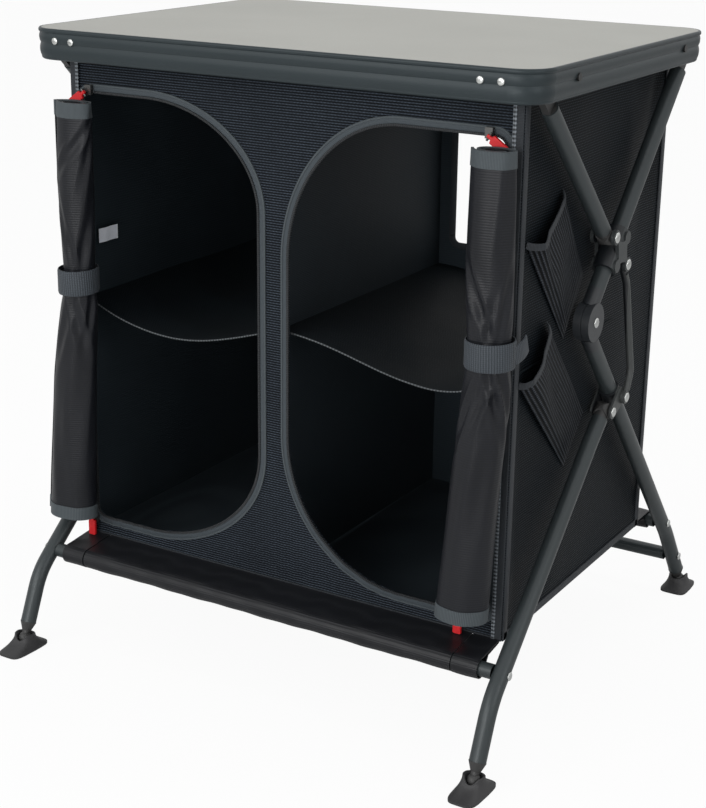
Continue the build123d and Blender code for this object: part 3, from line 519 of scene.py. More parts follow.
def sweep(path, outward, section, closed=False):
    """Points, faces and map of a section swept along a path. The section is (across, outward)."""
    path = np.asarray(path, float)
    outward = np.asarray(outward, float) * np.ones_like(path)
    section = np.asarray(section, float)
    ahead = np.roll(path, -1, 0) - np.roll(path, 1, 0)
    if not closed:
        ahead[0] = path[1] - path[0]
        ahead[-1] = path[-1] - path[-2]
    ahead /= np.linalg.norm(ahead, axis=1)[:, None]
    across = np.cross(ahead, outward)
    across /= np.linalg.norm(across, axis=1)[:, None]
    out = np.cross(across, ahead)
    points = path[:, None] + across[:, None] * section[None, :, :1] + out[:, None] * section[None, :, 1:]
    n, m = len(path), len(section)
    step = np.linalg.norm(np.diff(path, axis=0), axis=1)
    length = np.concatenate([[0], np.cumsum(step)])
    edge = np.concatenate([[0], np.cumsum(np.linalg.norm(np.diff(section, axis=0), axis=1))])
    maps = np.stack(np.broadcast_arrays(length[:, None], edge[None, :]), -1).reshape(-1, 2)
    faces = [tuple(f[::-1]) for f in cells(n, m, ring=True)]
    if closed:
        last = (n - 1) * m
        faces += [(c, (c + 1) % m, last + (c + 1) % m, last + c) for c in range(m)]
    else:
        faces += [tuple(range(m)), tuple(range(n * m - 1, (n - 1) * m - 1, -1))]
    return points.reshape(-1, 3), faces, maps


def flat_tape(width, height):
    """The section of a flat tape with rounded edges."""
    w, h = width / 2, height
    return [(-w, 0), (-w, h * 0.55), (-w * 0.86, h), (w * 0.86, h), (w, h * 0.55), (w, 0)]


def gather(parts):
    """Several meshes as one."""
    points, faces, maps = [], [], []
    start = 0
    for p, f, m in parts:
        points.append(np.asarray(p))
        maps.append(np.zeros((len(p), 2)) if m is None else np.asarray(m))
        faces += [tuple(int(i) + start for i in face) for face in f]
        start += len(p)
    return np.concatenate(points), faces, np.concatenate(maps)


def ripple(a, b, seed, waves=6, low=8.0, high=26.0):
    """Smooth uneven waves over two lengths in metres, from about -1 to 1."""
    rng = np.random.default_rng(seed)
    total = 0
    for _ in range(waves):
        pitch = rng.uniform(low, high)
        way = rng.uniform(0, 2 * math.pi)
        total = total + np.sin(pitch * (a * math.cos(way) + b * math.sin(way)) + rng.uniform(0, 6.28))
    return total / waves ** 0.75


def fade(value, start, end):
    """0 before start, 1 after end, smooth between."""
    t = np.clip((value - start) / (end - start), 0, 1)
    return t * t * (3 - 2 * t)


def crumple(made):
    """Give a piece of the cabinet its own copy of its mesh."""
    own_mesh(made)


def cloth(name, points, faces, thickness, finish, node):
    """A sheet of cloth that takes the place of a CAD node, which it hides."""
    shell, sides = thicken(points, faces, thickness)
    made = piece(name, shell, sides, "top_and_cabinet", finish)
    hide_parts(node)
    crumple(made)


def trim(name, parts, finish):
    """A sewn-on trim that rides with the cabinet."""
    points, faces, maps = gather(parts)
    made = piece(name, points, faces, "top_and_cabinet", finish, maps)
    crumple(made)
    return made


print("mesh helpers are ready")


# %% [markdown]
# Each doorway is nearly square at its outer side and broadly rounded towards the middle column, and
# the two are not the same. Their outlines are quarter ellipses joined by straight runs. The same
# outlines cut the front wall and carry the zips, so that they always agree.

# %% Doorway outlines
def door_outline(left):
    """The doorway's outline as evenly spaced (x, z) points, outward from the middle of the door."""
    outer = -0.286 if left else 0.286
    inner = -0.032 if left else 0.012
    side = 1 if left else -1
    top, low = 0.715, 0.160
    upper = (0.160, 0.121) if left else (0.146, 0.170)
    lower = (0.170, 0.135) if left else (0.158, 0.168)
    tight = 0.012
    turns = [(math.cos(t), math.sin(t)) for t in np.linspace(0, math.pi / 2, 60)]
    runs = [(outer + side * tight * (1 - c), low + tight * (1 - s)) for c, s in turns]
    runs += [(inner - side * lower[0] * (1 - s), low + lower[1] * (1 - c)) for c, s in turns]
    runs += [(inner - side * upper[0] * (1 - c), top - upper[1] * (1 - s)) for c, s in turns]
    runs += [(outer + side * tight * (1 - s), top - tight * (1 - c)) for c, s in turns]
    points = np.array(runs)
    points = np.concatenate([points, points[:1]])
    length = np.concatenate([[0], np.cumsum(np.linalg.norm(np.diff(points, axis=0), axis=1))])
    even = np.linspace(0, length[-1], 561)[:-1]
    points = np.stack([np.interp(even, length, points[:, i]) for i in (0, 1)], 1)
    return points if left else points[::-1]


def outline_normals(points):
    """Unit vectors that point out of a closed outline."""
    ahead = np.roll(points, -1, 0) - np.roll(points, 1, 0)
    out = np.stack([ahead[:, 1], -ahead[:, 0]], 1)
    out /= np.linalg.norm(out, axis=1)[:, None]
    middle = points.mean(0)
    return out if ((points - middle) * out).sum() > 0 else -out


def inside(points, outline):
    """Which points lie inside a closed outline."""
    x, z = points[:, 0][:, None], points[:, 1][:, None]
    x0, z0 = outline[:, 0][None], outline[:, 1][None]
    x1, z1 = np.roll(outline[:, 0], -1)[None], np.roll(outline[:, 1], -1)[None]
    crosses = (z0 > z) != (z1 > z)
    rise_of = np.where(z1 == z0, 1e-12, z1 - z0)
    return (crosses & (x < (x1 - x0) * (z - z0) / rise_of + x0)).sum(1) % 2 == 1


doors = {"left": door_outline(True), "right": door_outline(False)}
print("left door is", np.round(np.ptp(doors["left"], axis=0), 3), "m")


# %% [markdown]
# The front wall is one panel of ribbed cloth with both doorways cut out. It is a grid whose points
# nearest to an outline are moved onto it, which gives a clean edge without a triangulated face. The
# panel is sewn to the zips, so only its open stretches can ripple.

# %% Front wall
def front_y(x, z):
    """Where the front wall lies. It ripples most above the doors, and short folds stand below them."""
    open_cloth = fade(z, 0.715, 0.75) * 0.6 + fade(0.16 - z, 0.0, 0.02) * 0.3 + 0.35
    low_folds = np.exp(-((z - 0.155) / 0.05) ** 2) * (1 - fade(z, 0.2, 0.3)) * fade(z, 0.131, 0.145)
    ridges = np.abs(np.sin(x * 130 + 2.2 * np.sin(x * 31 + 0.6) - 9 * z)) ** 1.5
    ridges = ridges * (0.65 + 0.35 * np.sin(x * 19 + 1.0))
    return -half_y + 0.0011 * open_cloth * (1 + ripple(x, z * 0.4, 4)) + 0.0016 * low_folds * ridges


def cut_grid(low, high, step, outlines):
    """A flat grid between two corners with closed outlines cut out of it."""
    columns = int(round((high[0] - low[0]) / step)) + 1
    rows = int(round((high[1] - low[1]) / step)) + 1
    xs, zs = np.meshgrid(np.linspace(low[0], high[0], columns), np.linspace(low[1], high[1], rows))
    spots = np.stack([xs.ravel(), zs.ravel()], 1)
    faces = cells(rows, columns)
    for outline in outlines:
        gap = np.linalg.norm(spots[:, None] - outline[None], axis=2)
        nearest = gap.argmin(1)
        close = gap.min(1) < step * 0.6
        spots[close] = outline[nearest[close]]
        middle = spots[faces].mean(1)
        faces = faces[~inside(middle, outline)]
        kept = np.unique(faces)
        left_in = kept[inside(spots[kept], outline)]
        spots[left_in] = outline[nearest[left_in]]
        corner = spots[faces]
        size = np.abs(np.cross(corner[:, 2] - corner[:, 0], corner[:, 3] - corner[:, 1]))
        faces = faces[size > 1e-7]
    used = np.unique(faces)
    order = np.full(len(spots), -1)
    order[used] = np.arange(len(used))
    return spots[used], order[faces]


spots, faces = cut_grid((-half_x, floor_z), (half_x, roof_z), 0.0042, list(doors.values()))
panel = np.stack([spots[:, 0], front_y(spots[:, 0], spots[:, 1]), spots[:, 1]], 1)
corner = spots[faces]
cut_area = 0.5 * np.abs(np.cross(corner[:, 2] - corner[:, 0], corner[:, 3] - corner[:, 1])).sum()
front_trims = []
for name, outline in doors.items():
    out = outline_normals(outline)
    parts = []
    for shift, section, finish, slot, label in (
            (0.0052, flat_tape(0.0096, 0.0011), zip_tape, "zip_tape", "zip_tape"),
            (0.0016, flat_tape(0.0032, 0.0021), zip_teeth, "zip_tape", "zip_teeth"),
            (0.0100, flat_tape(0.0026, 0.0017), binding_tape, "zip_tape", "zip_piping")):
        line = outline + out * shift
        path = np.stack([line[:, 0], front_y(line[:, 0], line[:, 1]) - 0.00005, line[:, 1]], 1)
        made = trim(f"{name}_{label}", [sweep(path, (0, -1, 0), section, closed=True)], finish)
        parts.append(made)
    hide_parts(f"{name}_zip")
    front_trims += parts
cloth("front_wall_cloth", panel, faces, front_thick, front_cloth, "front_wall")
print("front wall area", round(float(cut_area), 3), "m2")


# %% [markdown]
# The side walls hang from the worktop and are drawn tight at the bottom, so long soft folds run
# down them. They fold inwards only, because the steel frame passes close outside them.

# %% Side, back and inner walls
def wall_grid(low, high, step):
    """Two grids of the coordinates on a wall, and its faces."""
    columns = int(round((high[0] - low[0]) / step)) + 1
    rows = int(round((high[1] - low[1]) / step)) + 1
    a, b = np.meshgrid(np.linspace(low[0], high[0], columns), np.linspace(low[1], high[1], rows))
    return a, b, cells(rows, columns)


def held_edges(a, b, low, high, reach):
    """0 at the sewn edges of a wall and 1 away from them."""
    return (fade(a, low[0], low[0] + reach) * (1 - fade(a, high[0] - reach, high[0]))
            * fade(b, low[1], low[1] + reach) * (1 - fade(b, high[1] - reach, high[1])))


for side, sign in (("right", 1), ("left", -1)):
    low, high = (-half_y + 0.0016, floor_z), (half_y - 0.0016, roof_z)
    y, z, faces = wall_grid(low, high, 0.006)
    held = held_edges(y, z, low, high, 0.035)
    drape = np.sqrt(ripple(y * 1.6, z * 0.7, 11 + sign, 5, 7, 20) ** 2 + 0.02) * 0.0042
    crease = 0.0035 * np.exp(-((y - 0.15 - 0.25 * (z - 0.6)) / 0.02) ** 2) * fade(z, 0.45, 0.7)
    x = sign * (half_x - held * (drape + crease))
    grid = np.stack([x, y, z], -1).reshape(-1, 3)
    if sign < 0:
        faces = faces[:, ::-1]
    cloth(f"{side}_wall_cloth", grid, faces, wall_thick, side_cloth_painted_shade, f"{side}_side_wall")

window_low, window_high = (0.014, 0.487), (0.2816, 0.700)
bend = 0.008
corners = [(window_low[0] + bend, window_low[1] + bend, math.pi, 1.5 * math.pi),
           (window_high[0] - bend, window_low[1] + bend, 1.5 * math.pi, 2 * math.pi),
           (window_high[0] - bend, window_high[1] - bend, 0, 0.5 * math.pi),
           (window_low[0] + bend, window_high[1] - bend, 0.5 * math.pi, math.pi)]
rounded = []
for cx, cz, start, end in corners:
    for t in np.linspace(start, end, 12):
        rounded.append((cx + bend * math.cos(t), cz + bend * math.sin(t)))
rounded = np.array(rounded + rounded[:1])
length = np.concatenate([[0], np.cumsum(np.linalg.norm(np.diff(rounded, axis=0), axis=1))])
even = np.linspace(0, length[-1], 261)[:-1]
window = np.stack([np.interp(even, length, rounded[:, i]) for i in (0, 1)], 1)
spots, faces = cut_grid((-half_x, floor_z), (half_x, roof_z), 0.006, [window])


def back_y(x, z):
    """Where the back wall lies, with soft folds towards the inside."""
    held = held_edges(x, z, (-half_x, floor_z), (half_x, roof_z), 0.04)
    near = np.exp(-(((x - 0.148) / 0.16) ** 4 + ((z - 0.593) / 0.14) ** 4))
    return half_y - 0.0035 * held * (1 - near) * np.abs(ripple(x, z, 21, 5, 7, 18))


back_panel = np.stack([spots[:, 0], back_y(spots[:, 0], spots[:, 1]), spots[:, 1]], 1)
out = outline_normals(window)
line = window + out * 0.004
path = np.stack([line[:, 0], back_y(line[:, 0], line[:, 1]) - 0.0001, line[:, 1]], 1)
narrow_tape = flat_tape(0.009, 0.001)
for name, shift, facing in (("inside", -wall_thick, -1), ("outside", 0, 1)):
    ring = sweep(path + [0, shift, 0], (0, facing, 0), narrow_tape, closed=True)
    trim(f"window_binding_{name}", [ring], dark_binding)
cloth("back_wall_cloth", back_panel, faces[:, ::-1], wall_thick, front_cloth, "back_wall")

y, z, faces = wall_grid((-half_y + 0.002, floor_z + 0.0016), (half_y - 0.002, roof_z - 0.0016), 0.008)
divider_left, divider_right = -0.0108, -0.0092
x = divider_left + 0.0015 * ripple(y, z * 0.6, 31)
cloth("divider_cloth", np.stack([x, y, z], -1), faces[:, ::-1], wall_thick, lining,
      "centre_divider")
for node, height in (("cabinet_floor", floor_z), ("cabinet_roof", roof_z - 0.0016)):
    x, y, faces = wall_grid((-half_x + 0.0016, -half_y + 0.0016), (half_x - 0.0016, half_y - 0.0016), 0.012)
    edge_held = held_edges(x, y, (-half_x, -half_y), (half_x, half_y), 0.06)
    drop = 0.0022 * edge_held * (1 + ripple(x, y, 41))
    z = height + 0.0014 - drop * (node == "cabinet_floor")
    cloth(f"{node}_cloth", np.stack([x, y, z], -1), faces, wall_thick, lining, node)
print("walls, floor, roof and divider are hung")

# %% [markdown]
# The shelves are only cloth, sewn to the walls and the divider, so they sag most along their front
# edge, where nothing holds them: the left one near its middle, the right one nearer to the outer wall.
# The slack cloth lies in soft folds, and a thin row of pale stitches runs along the front edge.

# %% Sagging shelves
shelf_z, shelf_slack = 0.455, 1.04
thin_hem = [(-0.0008, -0.0009), (-0.0008, 0.0002), (0.0, 0.0007), (0.0008, 0.0002), (0.0008, -0.0009)]
for name, x0, x1, low_at, depth in (("left_shelf", -0.304, divider_left, 0.45, 0.034),
                                    ("right_shelf", divider_right, 0.304, 0.66, 0.036)):
    x, y, faces = wall_grid((x0, -half_y + 0.012), (x1, half_y - 0.0016), 0.008)
    t = (x - x0) / (x1 - x0)
    lean = np.log(0.5) / np.log(low_at)
    hang = np.sin(math.pi * t ** lean)
    front_share = 1 - 0.25 * fade(y, -0.19, 0.19)
    z = shelf_z - depth * hang * front_share + 0.0016 * ripple(x, y, 51) * hang
    soft = np.sqrt(ripple(x * 1.6 + y, y * 1.2, 57, 4, 12, 30) ** 2 + 0.01)
    z = z - 0.0042 * soft * hang * (1 - 0.7 * fade(-y, 0.15, 0.196))
    sheet_points = np.stack([x, y, z], -1)
    edge_line = sweep(sheet_points[0] + [0, -0.0004, -0.0006], (0, -1, 0), thin_hem)
    hem = trim(f"{name}_hem", [edge_line], stitching)
    cloth(f"{name}_cloth", sheet_points, faces, shelf_thick, shelf_cloth, name)
print("two sagging shelves")


# %% [markdown]
# The upright corners and the lower edges of the cabinet are bound with a folded tape. Beside each
# front corner a row of pale stitches runs down the front wall.

# %% Corner bindings
def corner_line(x, y):
    """A vertical line of points."""
    zs = np.linspace(floor_z, roof_z, 60)
    return np.stack([np.full_like(zs, x), np.full_like(zs, y), zs], 1)


corner_parts, stitch_rows = [], []
for sx in (-1, 1):
    side_line, front_line = sx * (half_x + 0.0002), sx * (half_x - 0.005)
    for sy in (-1, 1):
        on_side = corner_line(side_line, sy * (half_y - 0.006))
        on_front = corner_line(front_line, sy * (half_y + 0.0002))
        corner_parts.append(sweep(on_side, (sx, 0, 0), flat_tape(0.011, 0.0012)))
        corner_parts.append(sweep(on_front, (0, sy, 0), flat_tape(0.009, 0.0012)))
    beside = corner_line(sx * (half_x - 0.0108), -half_y - 0.0012)
    stitch_rows.append(sweep(beside, (0, -1, 0), flat_tape(0.0044, 0.0012)))
trim("corner_bindings", corner_parts, dark_binding)
trim("corner_stitches", stitch_rows, corner_teeth)
hem_parts = []
for sx in (-1, 1):
    ys = np.linspace(-half_y + 0.003, half_y - 0.003, 40)
    flat_x, flat_z = np.full_like(ys, sx * (half_x + 0.0002)), np.full_like(ys, floor_z + 0.005)
    low_edge = np.stack([flat_x, ys, flat_z], 1)
    hem_parts.append(sweep(low_edge, (sx, 0, 0), flat_tape(0.010, 0.0012)))
xs = np.linspace(-half_x + 0.003, half_x - 0.003, 60)
low_edge = np.stack([xs, np.full_like(xs, half_y + 0.0003), np.full_like(xs, floor_z + 0.005)], 1)
hem_parts.append(sweep(low_edge, (0, 1, 0), flat_tape(0.010, 0.0012)))
seam = np.stack([xs, np.full_like(xs, -half_y - 0.0003), np.full_like(xs, floor_z + 0.0022)], 1)
hem_parts.append(sweep(seam, (0, -1, 0), flat_tape(0.0028, 0.001)))
trim("lower_hems", hem_parts, dark_binding)
print("bindings sewn")


# %% [markdown]
# The doors are rolled up sideways and held by a strap, so each is a long sheet wound into a loose
# spiral. The roll hangs straight down to its strap, which gathers it, and spreads and leans below it.
# Winding the real sheet, instead of modelling a post, gives the spiral ends and the outer flap for
# nothing. Tables give each roll's place, width and depth at some heights, and are smoothed between
# them. The places and widths were read off the photograph.

# %% Shape of the rolls
def eased(knots, values):
    """A smooth curve past the values at some heights, as a function of the height."""
    heights = np.linspace(0.12, 0.75, 253)
    window = np.hanning(17)
    rough = np.pad(np.interp(heights, knots, values), 8, mode="edge")
    smooth = np.convolve(rough, window / window.sum(), "valid")
    return lambda height: np.interp(height, heights, smooth)


roll_low, roll_top, waist = 0.170, 0.7075, 0.4885
knots = (0.164, 0.21, 0.36, 0.455, 0.4885, 0.522, 0.60, 0.705)
rolls = {
    "left": {"sign": 1, "loop": (.0240, .0240),
             "centre": eased(knots, (-.3060, -.3040, -.2925, -.2818, -.2790, -.2786, -.2795, -.2776)),
             "wide": eased(knots, (.0415, .0395, .0358, .0300, .0226, .0252, .0288, .0302)),
             "deep": eased(knots, (.0285, .0285, .0270, .0255, .0228, .0238, .0240, .0170))},
    "right": {"sign": -1, "loop": (.0272, .0240),
              "centre": eased(knots, (.2705, .2738, .2838, .2920, .2915, .2905, .2890, .2882)),
              "wide": eased(knots, (.0338, .0335, .0316, .0300, .0262, .0300, .0300, .0274)),
              "deep": eased(knots, (.0285, .0285, .0270, .0255, .0228, .0238, .0240, .0190))}}
roll_y = -0.2398
door_turns, start_angle = 2.35, 0.9
mean_radius = 0.024
# A crease is its angle round the roll, its height, how wide (in radians) and how tall it is, its
# slant in radians for each metre, and its depth, which is then raised by one share for them all.
crease_depth = 1.35
creases = {
    "left": ((-1.1, 0.655, 0.30, 0.030, 34, 0.0042), (-0.3, 0.640, 0.25, 0.035, 10, 0.0026),
             (-1.9, 0.560, 0.26, 0.040, -14, 0.0026), (-0.5, 0.535, 0.28, 0.045, 9, 0.0036),
             (-1.3, 0.528, 0.2, 0.03, -4, 0.0022), (-1.0, 0.440, 0.26, 0.040, -12, 0.0040),
             (-0.25, 0.445, 0.2, 0.03, 8, 0.003), (-1.8, 0.425, 0.24, 0.045, 10, 0.0032),
             (-0.8, 0.330, 0.34, 0.09, 3, 0.0024), (-1.6, 0.250, 0.28, 0.08, -4, 0.0022)),
    "right": ((-1.75, 0.545, 0.22, 0.036, -16, 0.0040), (-1.2, 0.525, 0.18, 0.026, 6, 0.0026),
              (-0.6, 0.540, 0.2, 0.04, 10, 0.0022), (-1.5, 0.440, 0.2, 0.038, 9, 0.0044),
              (-0.85, 0.437, 0.19, 0.036, -12, 0.0044), (-0.3, 0.445, 0.18, 0.035, -14, 0.003),
              (-2.0, 0.430, 0.2, 0.04, 12, 0.0032), (-1.1, 0.345, 0.3, 0.09, 3, 0.0022),
              (-0.5, 0.640, 0.34, 0.07, 4, 0.0018))}


def roll_point(name, turned, total, height, lift):
    """Points of a wound door: the angle turned so far, of the total, at each height."""
    shape = rolls[name]
    share = 0.42 + 0.58 * (turned / total) ** 0.9
    way = shape["sign"] * (start_angle + turned)
    slack = 0.0006 * np.sin(5.5 * turned + 22 * height + 2.2 * np.sin(14 * height))
    slack = slack + 0.001 * ripple(np.cos(turned) * 0.05, height, 61 + shape["sign"], 6, 16, 60)
    for at, middle, broad, tall, slant, dent in creases[name]:
        off = np.angle(np.exp(1j * (way - at - slant * (height - middle))))
        swell = np.exp(-((np.abs(off) - broad * 1.7) / (broad * 0.6)) ** 2)
        pit = np.exp(-(off / broad) ** 2) - 0.5 * swell
        slack = slack - crease_depth * dent * pit * np.exp(-((height - middle) / tall) ** 2)
    slack = slack * (turned / total) ** 2 + lift - 0.0012
    x = shape["centre"](height) + (shape["wide"](height) * share + slack) * np.cos(way)
    y = roll_y + (shape["deep"](height) * share + slack) * np.sin(way)
    return np.stack([x, y, height], -1)


print("roll waist", [round(float(2 * rolls[n]["wide"](waist)), 4) for n in rolls])


# %% [markdown]
# Each door is one sheet, and a grey tape is folded over both its ends. The tape is a second, thicker
# winding over the outer turns, which takes in the sheet's end on both sides.

# %% Rolled doors
def rolled_door(name):
    """A door sheet wound into a roll, with bands sewn along its two ends."""
    sign = rolls[name]["sign"]
    total = door_turns * 2 * math.pi
    turns = np.linspace(0, total, 190)
    height, turned = np.meshgrid(np.linspace(roll_low, roll_top, 181), turns, indexing="ij")
    grid = roll_point(name, turned, total, height, 0)
    faces = cells(*height.shape)
    shell, sides = thicken(grid, faces[:, ::sign], door_thick)
    maps = np.stack([turned * mean_radius, height], -1).reshape(-1, 2)
    door = piece(f"{name}_door_cloth", shell, sides, "top_and_cabinet", roll_cloth,
                 np.concatenate([maps, maps]))
    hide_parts(f"{name}_door_roll")
    bands = []
    past_end, outer_turns = 0.0008, turns[75:]
    for low, high in ((roll_low - past_end, roll_low + 0.0165), (roll_top - 0.0175, roll_top + past_end)):
        height, turned = np.meshgrid(np.linspace(low, high, 6), outer_turns, indexing="ij")
        points = roll_point(name, turned, total, height, 0.0009)
        points, sides = thicken(points, cells(*height.shape)[:, ::sign], band_thick)
        maps = np.stack([turned * mean_radius, height], -1).reshape(-1, 2)
        bands.append((points, sides, np.concatenate([maps, maps])))
    ends = trim(f"{name}_door_bands", bands, binding_tape)
    width = float(np.linalg.norm(np.diff(grid[40], axis=0), axis=1).sum())
    crumple(door)
    return width


for name in rolls:
    print(name, "door sheet is", round(rolled_door(name), 3), "m wide")

# %% [markdown]
# A strap of webbing goes once round each roll with some room to spare, and its free end runs on
# past the cabinet's corner.

# %% Roll straps
strap_parts = []
for name in rolls:
    side = -rolls[name]["sign"]
    middle = float(rolls[name]["centre"](waist))
    angles = np.linspace(0, 2 * math.pi, 97)[:-1]
    sag = waist + 0.0012 * np.sin(angles + 0.6)
    across, along = rolls[name]["loop"]
    loop = np.stack([middle + across * np.cos(angles), roll_y + along * np.sin(angles), sag], 1)
    outward = np.stack([np.cos(angles), np.sin(angles), np.zeros_like(angles)], 1)
    strap_parts.append(sweep(loop, outward, flat_tape(0.031, 0.0017), closed=True))
    start = np.array([middle + side * (across - 0.0004), roll_y + 0.005, waist - 0.001])
    end = np.array([side * 0.3190, -half_y + 0.001, waist + 0.0065])
    share = np.linspace(0, 1, 24)[:, None]
    bow = np.array([side * 0.0022, 0.0, 0.0]) * np.sin(math.pi * share)
    tail = start * (1 - share) + end * share + bow
    strap_parts.append(sweep(tail, (side, -0.15, 0), flat_tape(0.022, 0.0016)))
straps = trim("roll_strap_webbing", strap_parts, webbing)
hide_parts("roll_straps")
print("straps round both rolls")


# %% [markdown]
# Two mesh pockets are sewn to each side wall on three edges. A pleat along the front edge lets each
# one stand off the wall, so its mouth gapes and a ridge runs from the mouth's corner down to its
# point. The patch is a grid between four corners, and its ribs follow the patch, not the ground.

# %% Side pockets
def pocket(corners, sign, depth, seed):
    """A full patch of mesh on a side wall. Its mouth runs between the first two corners."""
    a, b, c, d = (np.array(p) for p in corners)
    u, v = np.meshgrid(np.linspace(0, 1, 64), np.linspace(0, 1, 54))
    flat = ((1 - u)[..., None] * ((1 - v)[..., None] * a + v[..., None] * d)
            + u[..., None] * ((1 - v)[..., None] * b + v[..., None] * c))
    pleat = np.clip(u / 0.17, 0, 1) ** 0.8 * (1 - 0.55 * fade(u, 0.17, 1.0))
    pleat = pleat * np.clip((1 - u) / 0.1, 0, 1) ** 0.7
    fall = (1 - v) ** 0.75
    bow = np.abs(np.sin(2.6 * v + 5.5 * u + seed)) * 0.2
    bow = bow + 0.14 * np.sin(9 * v + 4 * u + 2 * seed) * fade(u, 0.1, 0.3)
    out = depth * pleat * fall * (0.9 + bow) + 0.0006
    scallop = 0.011 * np.sin(math.pi * u ** 0.8) * (1 - v) ** 2 * (1 + 0.3 * np.sin(7 * u + seed))
    points = np.stack([sign * (half_x + out), flat[..., 0], flat[..., 1] - scallop], -1)
    maps = np.stack([u * np.linalg.norm(b - a), v * np.linalg.norm(d - a)], -1).reshape(-1, 2)
    return points, cells(*u.shape), maps


upper = ((-0.192, 0.599), (-0.101, 0.643), (-0.030, 0.532), (-0.079, 0.467))
lower = ((-0.195, 0.441), (-0.126, 0.496), (-0.005, 0.357), (-0.057, 0.302))
for side, sign in (("right", 1), ("left", -1)):
    sheets, hems = [], []
    for corners, depth, seed in ((upper, 0.0135, 1.0), (lower, 0.0130, 2.5)):
        points, faces, maps = pocket(corners, sign, depth, seed)
        shell, sides = thicken(points, faces[:, ::-1] if sign > 0 else faces, mesh_thick)
        sheets.append((shell, sides, np.concatenate([maps, maps])))
        hems.append(sweep(points[0] + [sign * 0.0004, 0, 0], (sign, 0, 0), flat_tape(0.008, 0.0012)))
    hem = trim(f"{side}_pocket_hems", hems, dark_binding)
    points, faces, maps = gather(sheets)
    made = piece(f"{side}_pockets_mesh", points, faces, "top_and_cabinet", pocket_mesh, maps)
    if sign > 0:
        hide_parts("side_pockets")
    crumple(made)
print("four side pockets")


# %% [markdown]
# The cabinet's lower edges are held down by sleeves that the cross rails pass through. The cloth runs
# round the rail and up to the wall like a drop, so its section is repeated along the rail with a
# little slack in and out. Two narrow slits part a short collar from each end of the sleeve.

# %% Rail sleeves
def sleeve(rail, side, x0, x1, seed):
    """Cloth sewn round a rail and up to a wall's lower edge, from x0 to x1. Side is -1 at the front."""
    join = np.array([side * (half_y + 0.0012), floor_z + 0.0008])
    centre = np.array(rail)
    reach = np.linalg.norm(join - centre)
    ahead = (join - centre) / reach
    over = np.array([-ahead[1], ahead[0]])
    over = over if over[1] > 0 else -over
    radius = 0.0112
    touch = math.acos(radius / reach)
    angles = np.linspace(touch, 2 * math.pi - 0.3, 30)
    rows = []
    for x in np.linspace(x0, x1, max(10, int((x1 - x0) / 0.005))):
        slack = 0.00035 * math.sin(47 * x + seed) + 0.00025 * math.sin(131 * x + 2 * seed)
        upper = [(reach * t + radius * math.cos(touch) * (1 - t),
                  radius * math.sin(touch) * (1 - t) + 4 * t * (1 - t) * (slack * 1.6 - 0.0004))
                 for t in (1, 0.8, 0.6, 0.4, 0.2)]
        ring = [((radius + slack) * math.cos(t), (radius + slack) * math.sin(t)) for t in angles]
        lower = [(reach * t + 0.02 * (1 - t), 0.0038 * (1 - t) - 0.0016 * t) for t in (0, 0.35, 0.7, 0.98)]
        spots = [centre + ahead * p + over * q for p, q in upper + ring + lower]
        rows.append([(x, p, q) for p, q in spots])
    points = np.array(rows)
    return points, cells(points.shape[0], points.shape[1], ring=True)


for name, rail, side, body in (("front", front_rail, -1, "front_legs"),
                               ("rear", rear_rail, 1, "rear_legs")):
    parts = []
    for x0, x1, seed in ((-0.2685, 0.2685, 0.4), (0.2700, 0.3032, 1.0), (-0.3032, -0.2700, 2.0)):
        points, faces = sleeve(rail, side, x0, x1, seed)
        shell, sides = thicken(points, faces if side > 0 else faces[:, ::-1], sleeve_thick)
        parts.append((shell, sides, None))
    points, faces = gather(parts)[:2]
    made = piece(f"{name}_sleeve_cloth", points, faces, body, sleeve_cloth)
    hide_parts(f"{name}_rail_sleeve")
print("sleeves on both rails")

# %% [markdown]
# A small pale tab is sewn inside the left wall, near the front. It is blank.

# %% Care tab
y, z, faces = wall_grid((-0.1755, 0.5195), (-0.1395, 0.5377), 0.002)
x = -half_x + 0.009 + 0.0006 * np.sin(y * 260)
tab_points, tab_sides = thicken(np.stack([x, y, z], -1), faces, tab_thick)
tab = piece("care_tab", tab_points, tab_sides, "top_and_cabinet", label_cloth)
crumple(tab)


# %% [markdown]
# Rivet heads and zip pulls come from one profile spun about an axis. Spinning a profile keeps the
# dome's curve smooth at its rim.

# %% Turned parts
def spun(profile, centre, axis, steps=28):
    """A profile of (radius, height) spun about an axis through a centre, closed at both ends."""
    axis = np.array(axis, float)
    axis /= np.linalg.norm(axis)
    helper = np.array([0, 0, 1.0]) if abs(axis[2]) < 0.9 else np.array([1.0, 0, 0])
    u = np.cross(helper, axis)
    u /= np.linalg.norm(u)
    v = np.cross(axis, u)
    angles = np.linspace(0, 2 * math.pi, steps, endpoint=False)
    ring = np.cos(angles)[:, None] * u + np.sin(angles)[:, None] * v
    rows = [np.array(centre) + axis * h + ring * r for r, h in profile]
    points = np.concatenate(rows)
    faces = [tuple(int(i) for i in f) for f in cells(len(profile), steps, ring=True)]
    faces += [tuple(range(steps))[::-1], tuple(range(len(profile) * steps - steps, len(profile) * steps))]
    return points, faces, None


def dome(radius, height):
    """The profile of a domed rivet head with a soft rim."""
    angles = np.linspace(0.12, math.pi / 2 - 0.12, 7)
    return ([(radius * 0.96, 0.0), (radius, height * 0.16)]
            + [(radius * math.cos(t), height * (0.2 + 0.8 * math.sin(t))) for t in angles])


rivets = {"rim_rivets": ("top_and_cabinet", []), "clamp_rivets": ("lock_clamps", []),
          "knuckle_rivets": ("upper_rear", []), "cross_rivets": ("rear_legs", []),
          "rear_rail_rivets": ("rear_legs", []), "link_rivets": ("links", []),
          "front_rail_rivets": ("front_legs", [])}
for x in (-0.295, -0.271, 0.271, 0.295):
    for way in (-1, 1):
        head = spun(dome(0.0042, 0.0016), (x, way * (rim_out - 0.0006), rim_rivet_z), (0, way, 0))
        rivets["rim_rivets"][1].append(head)
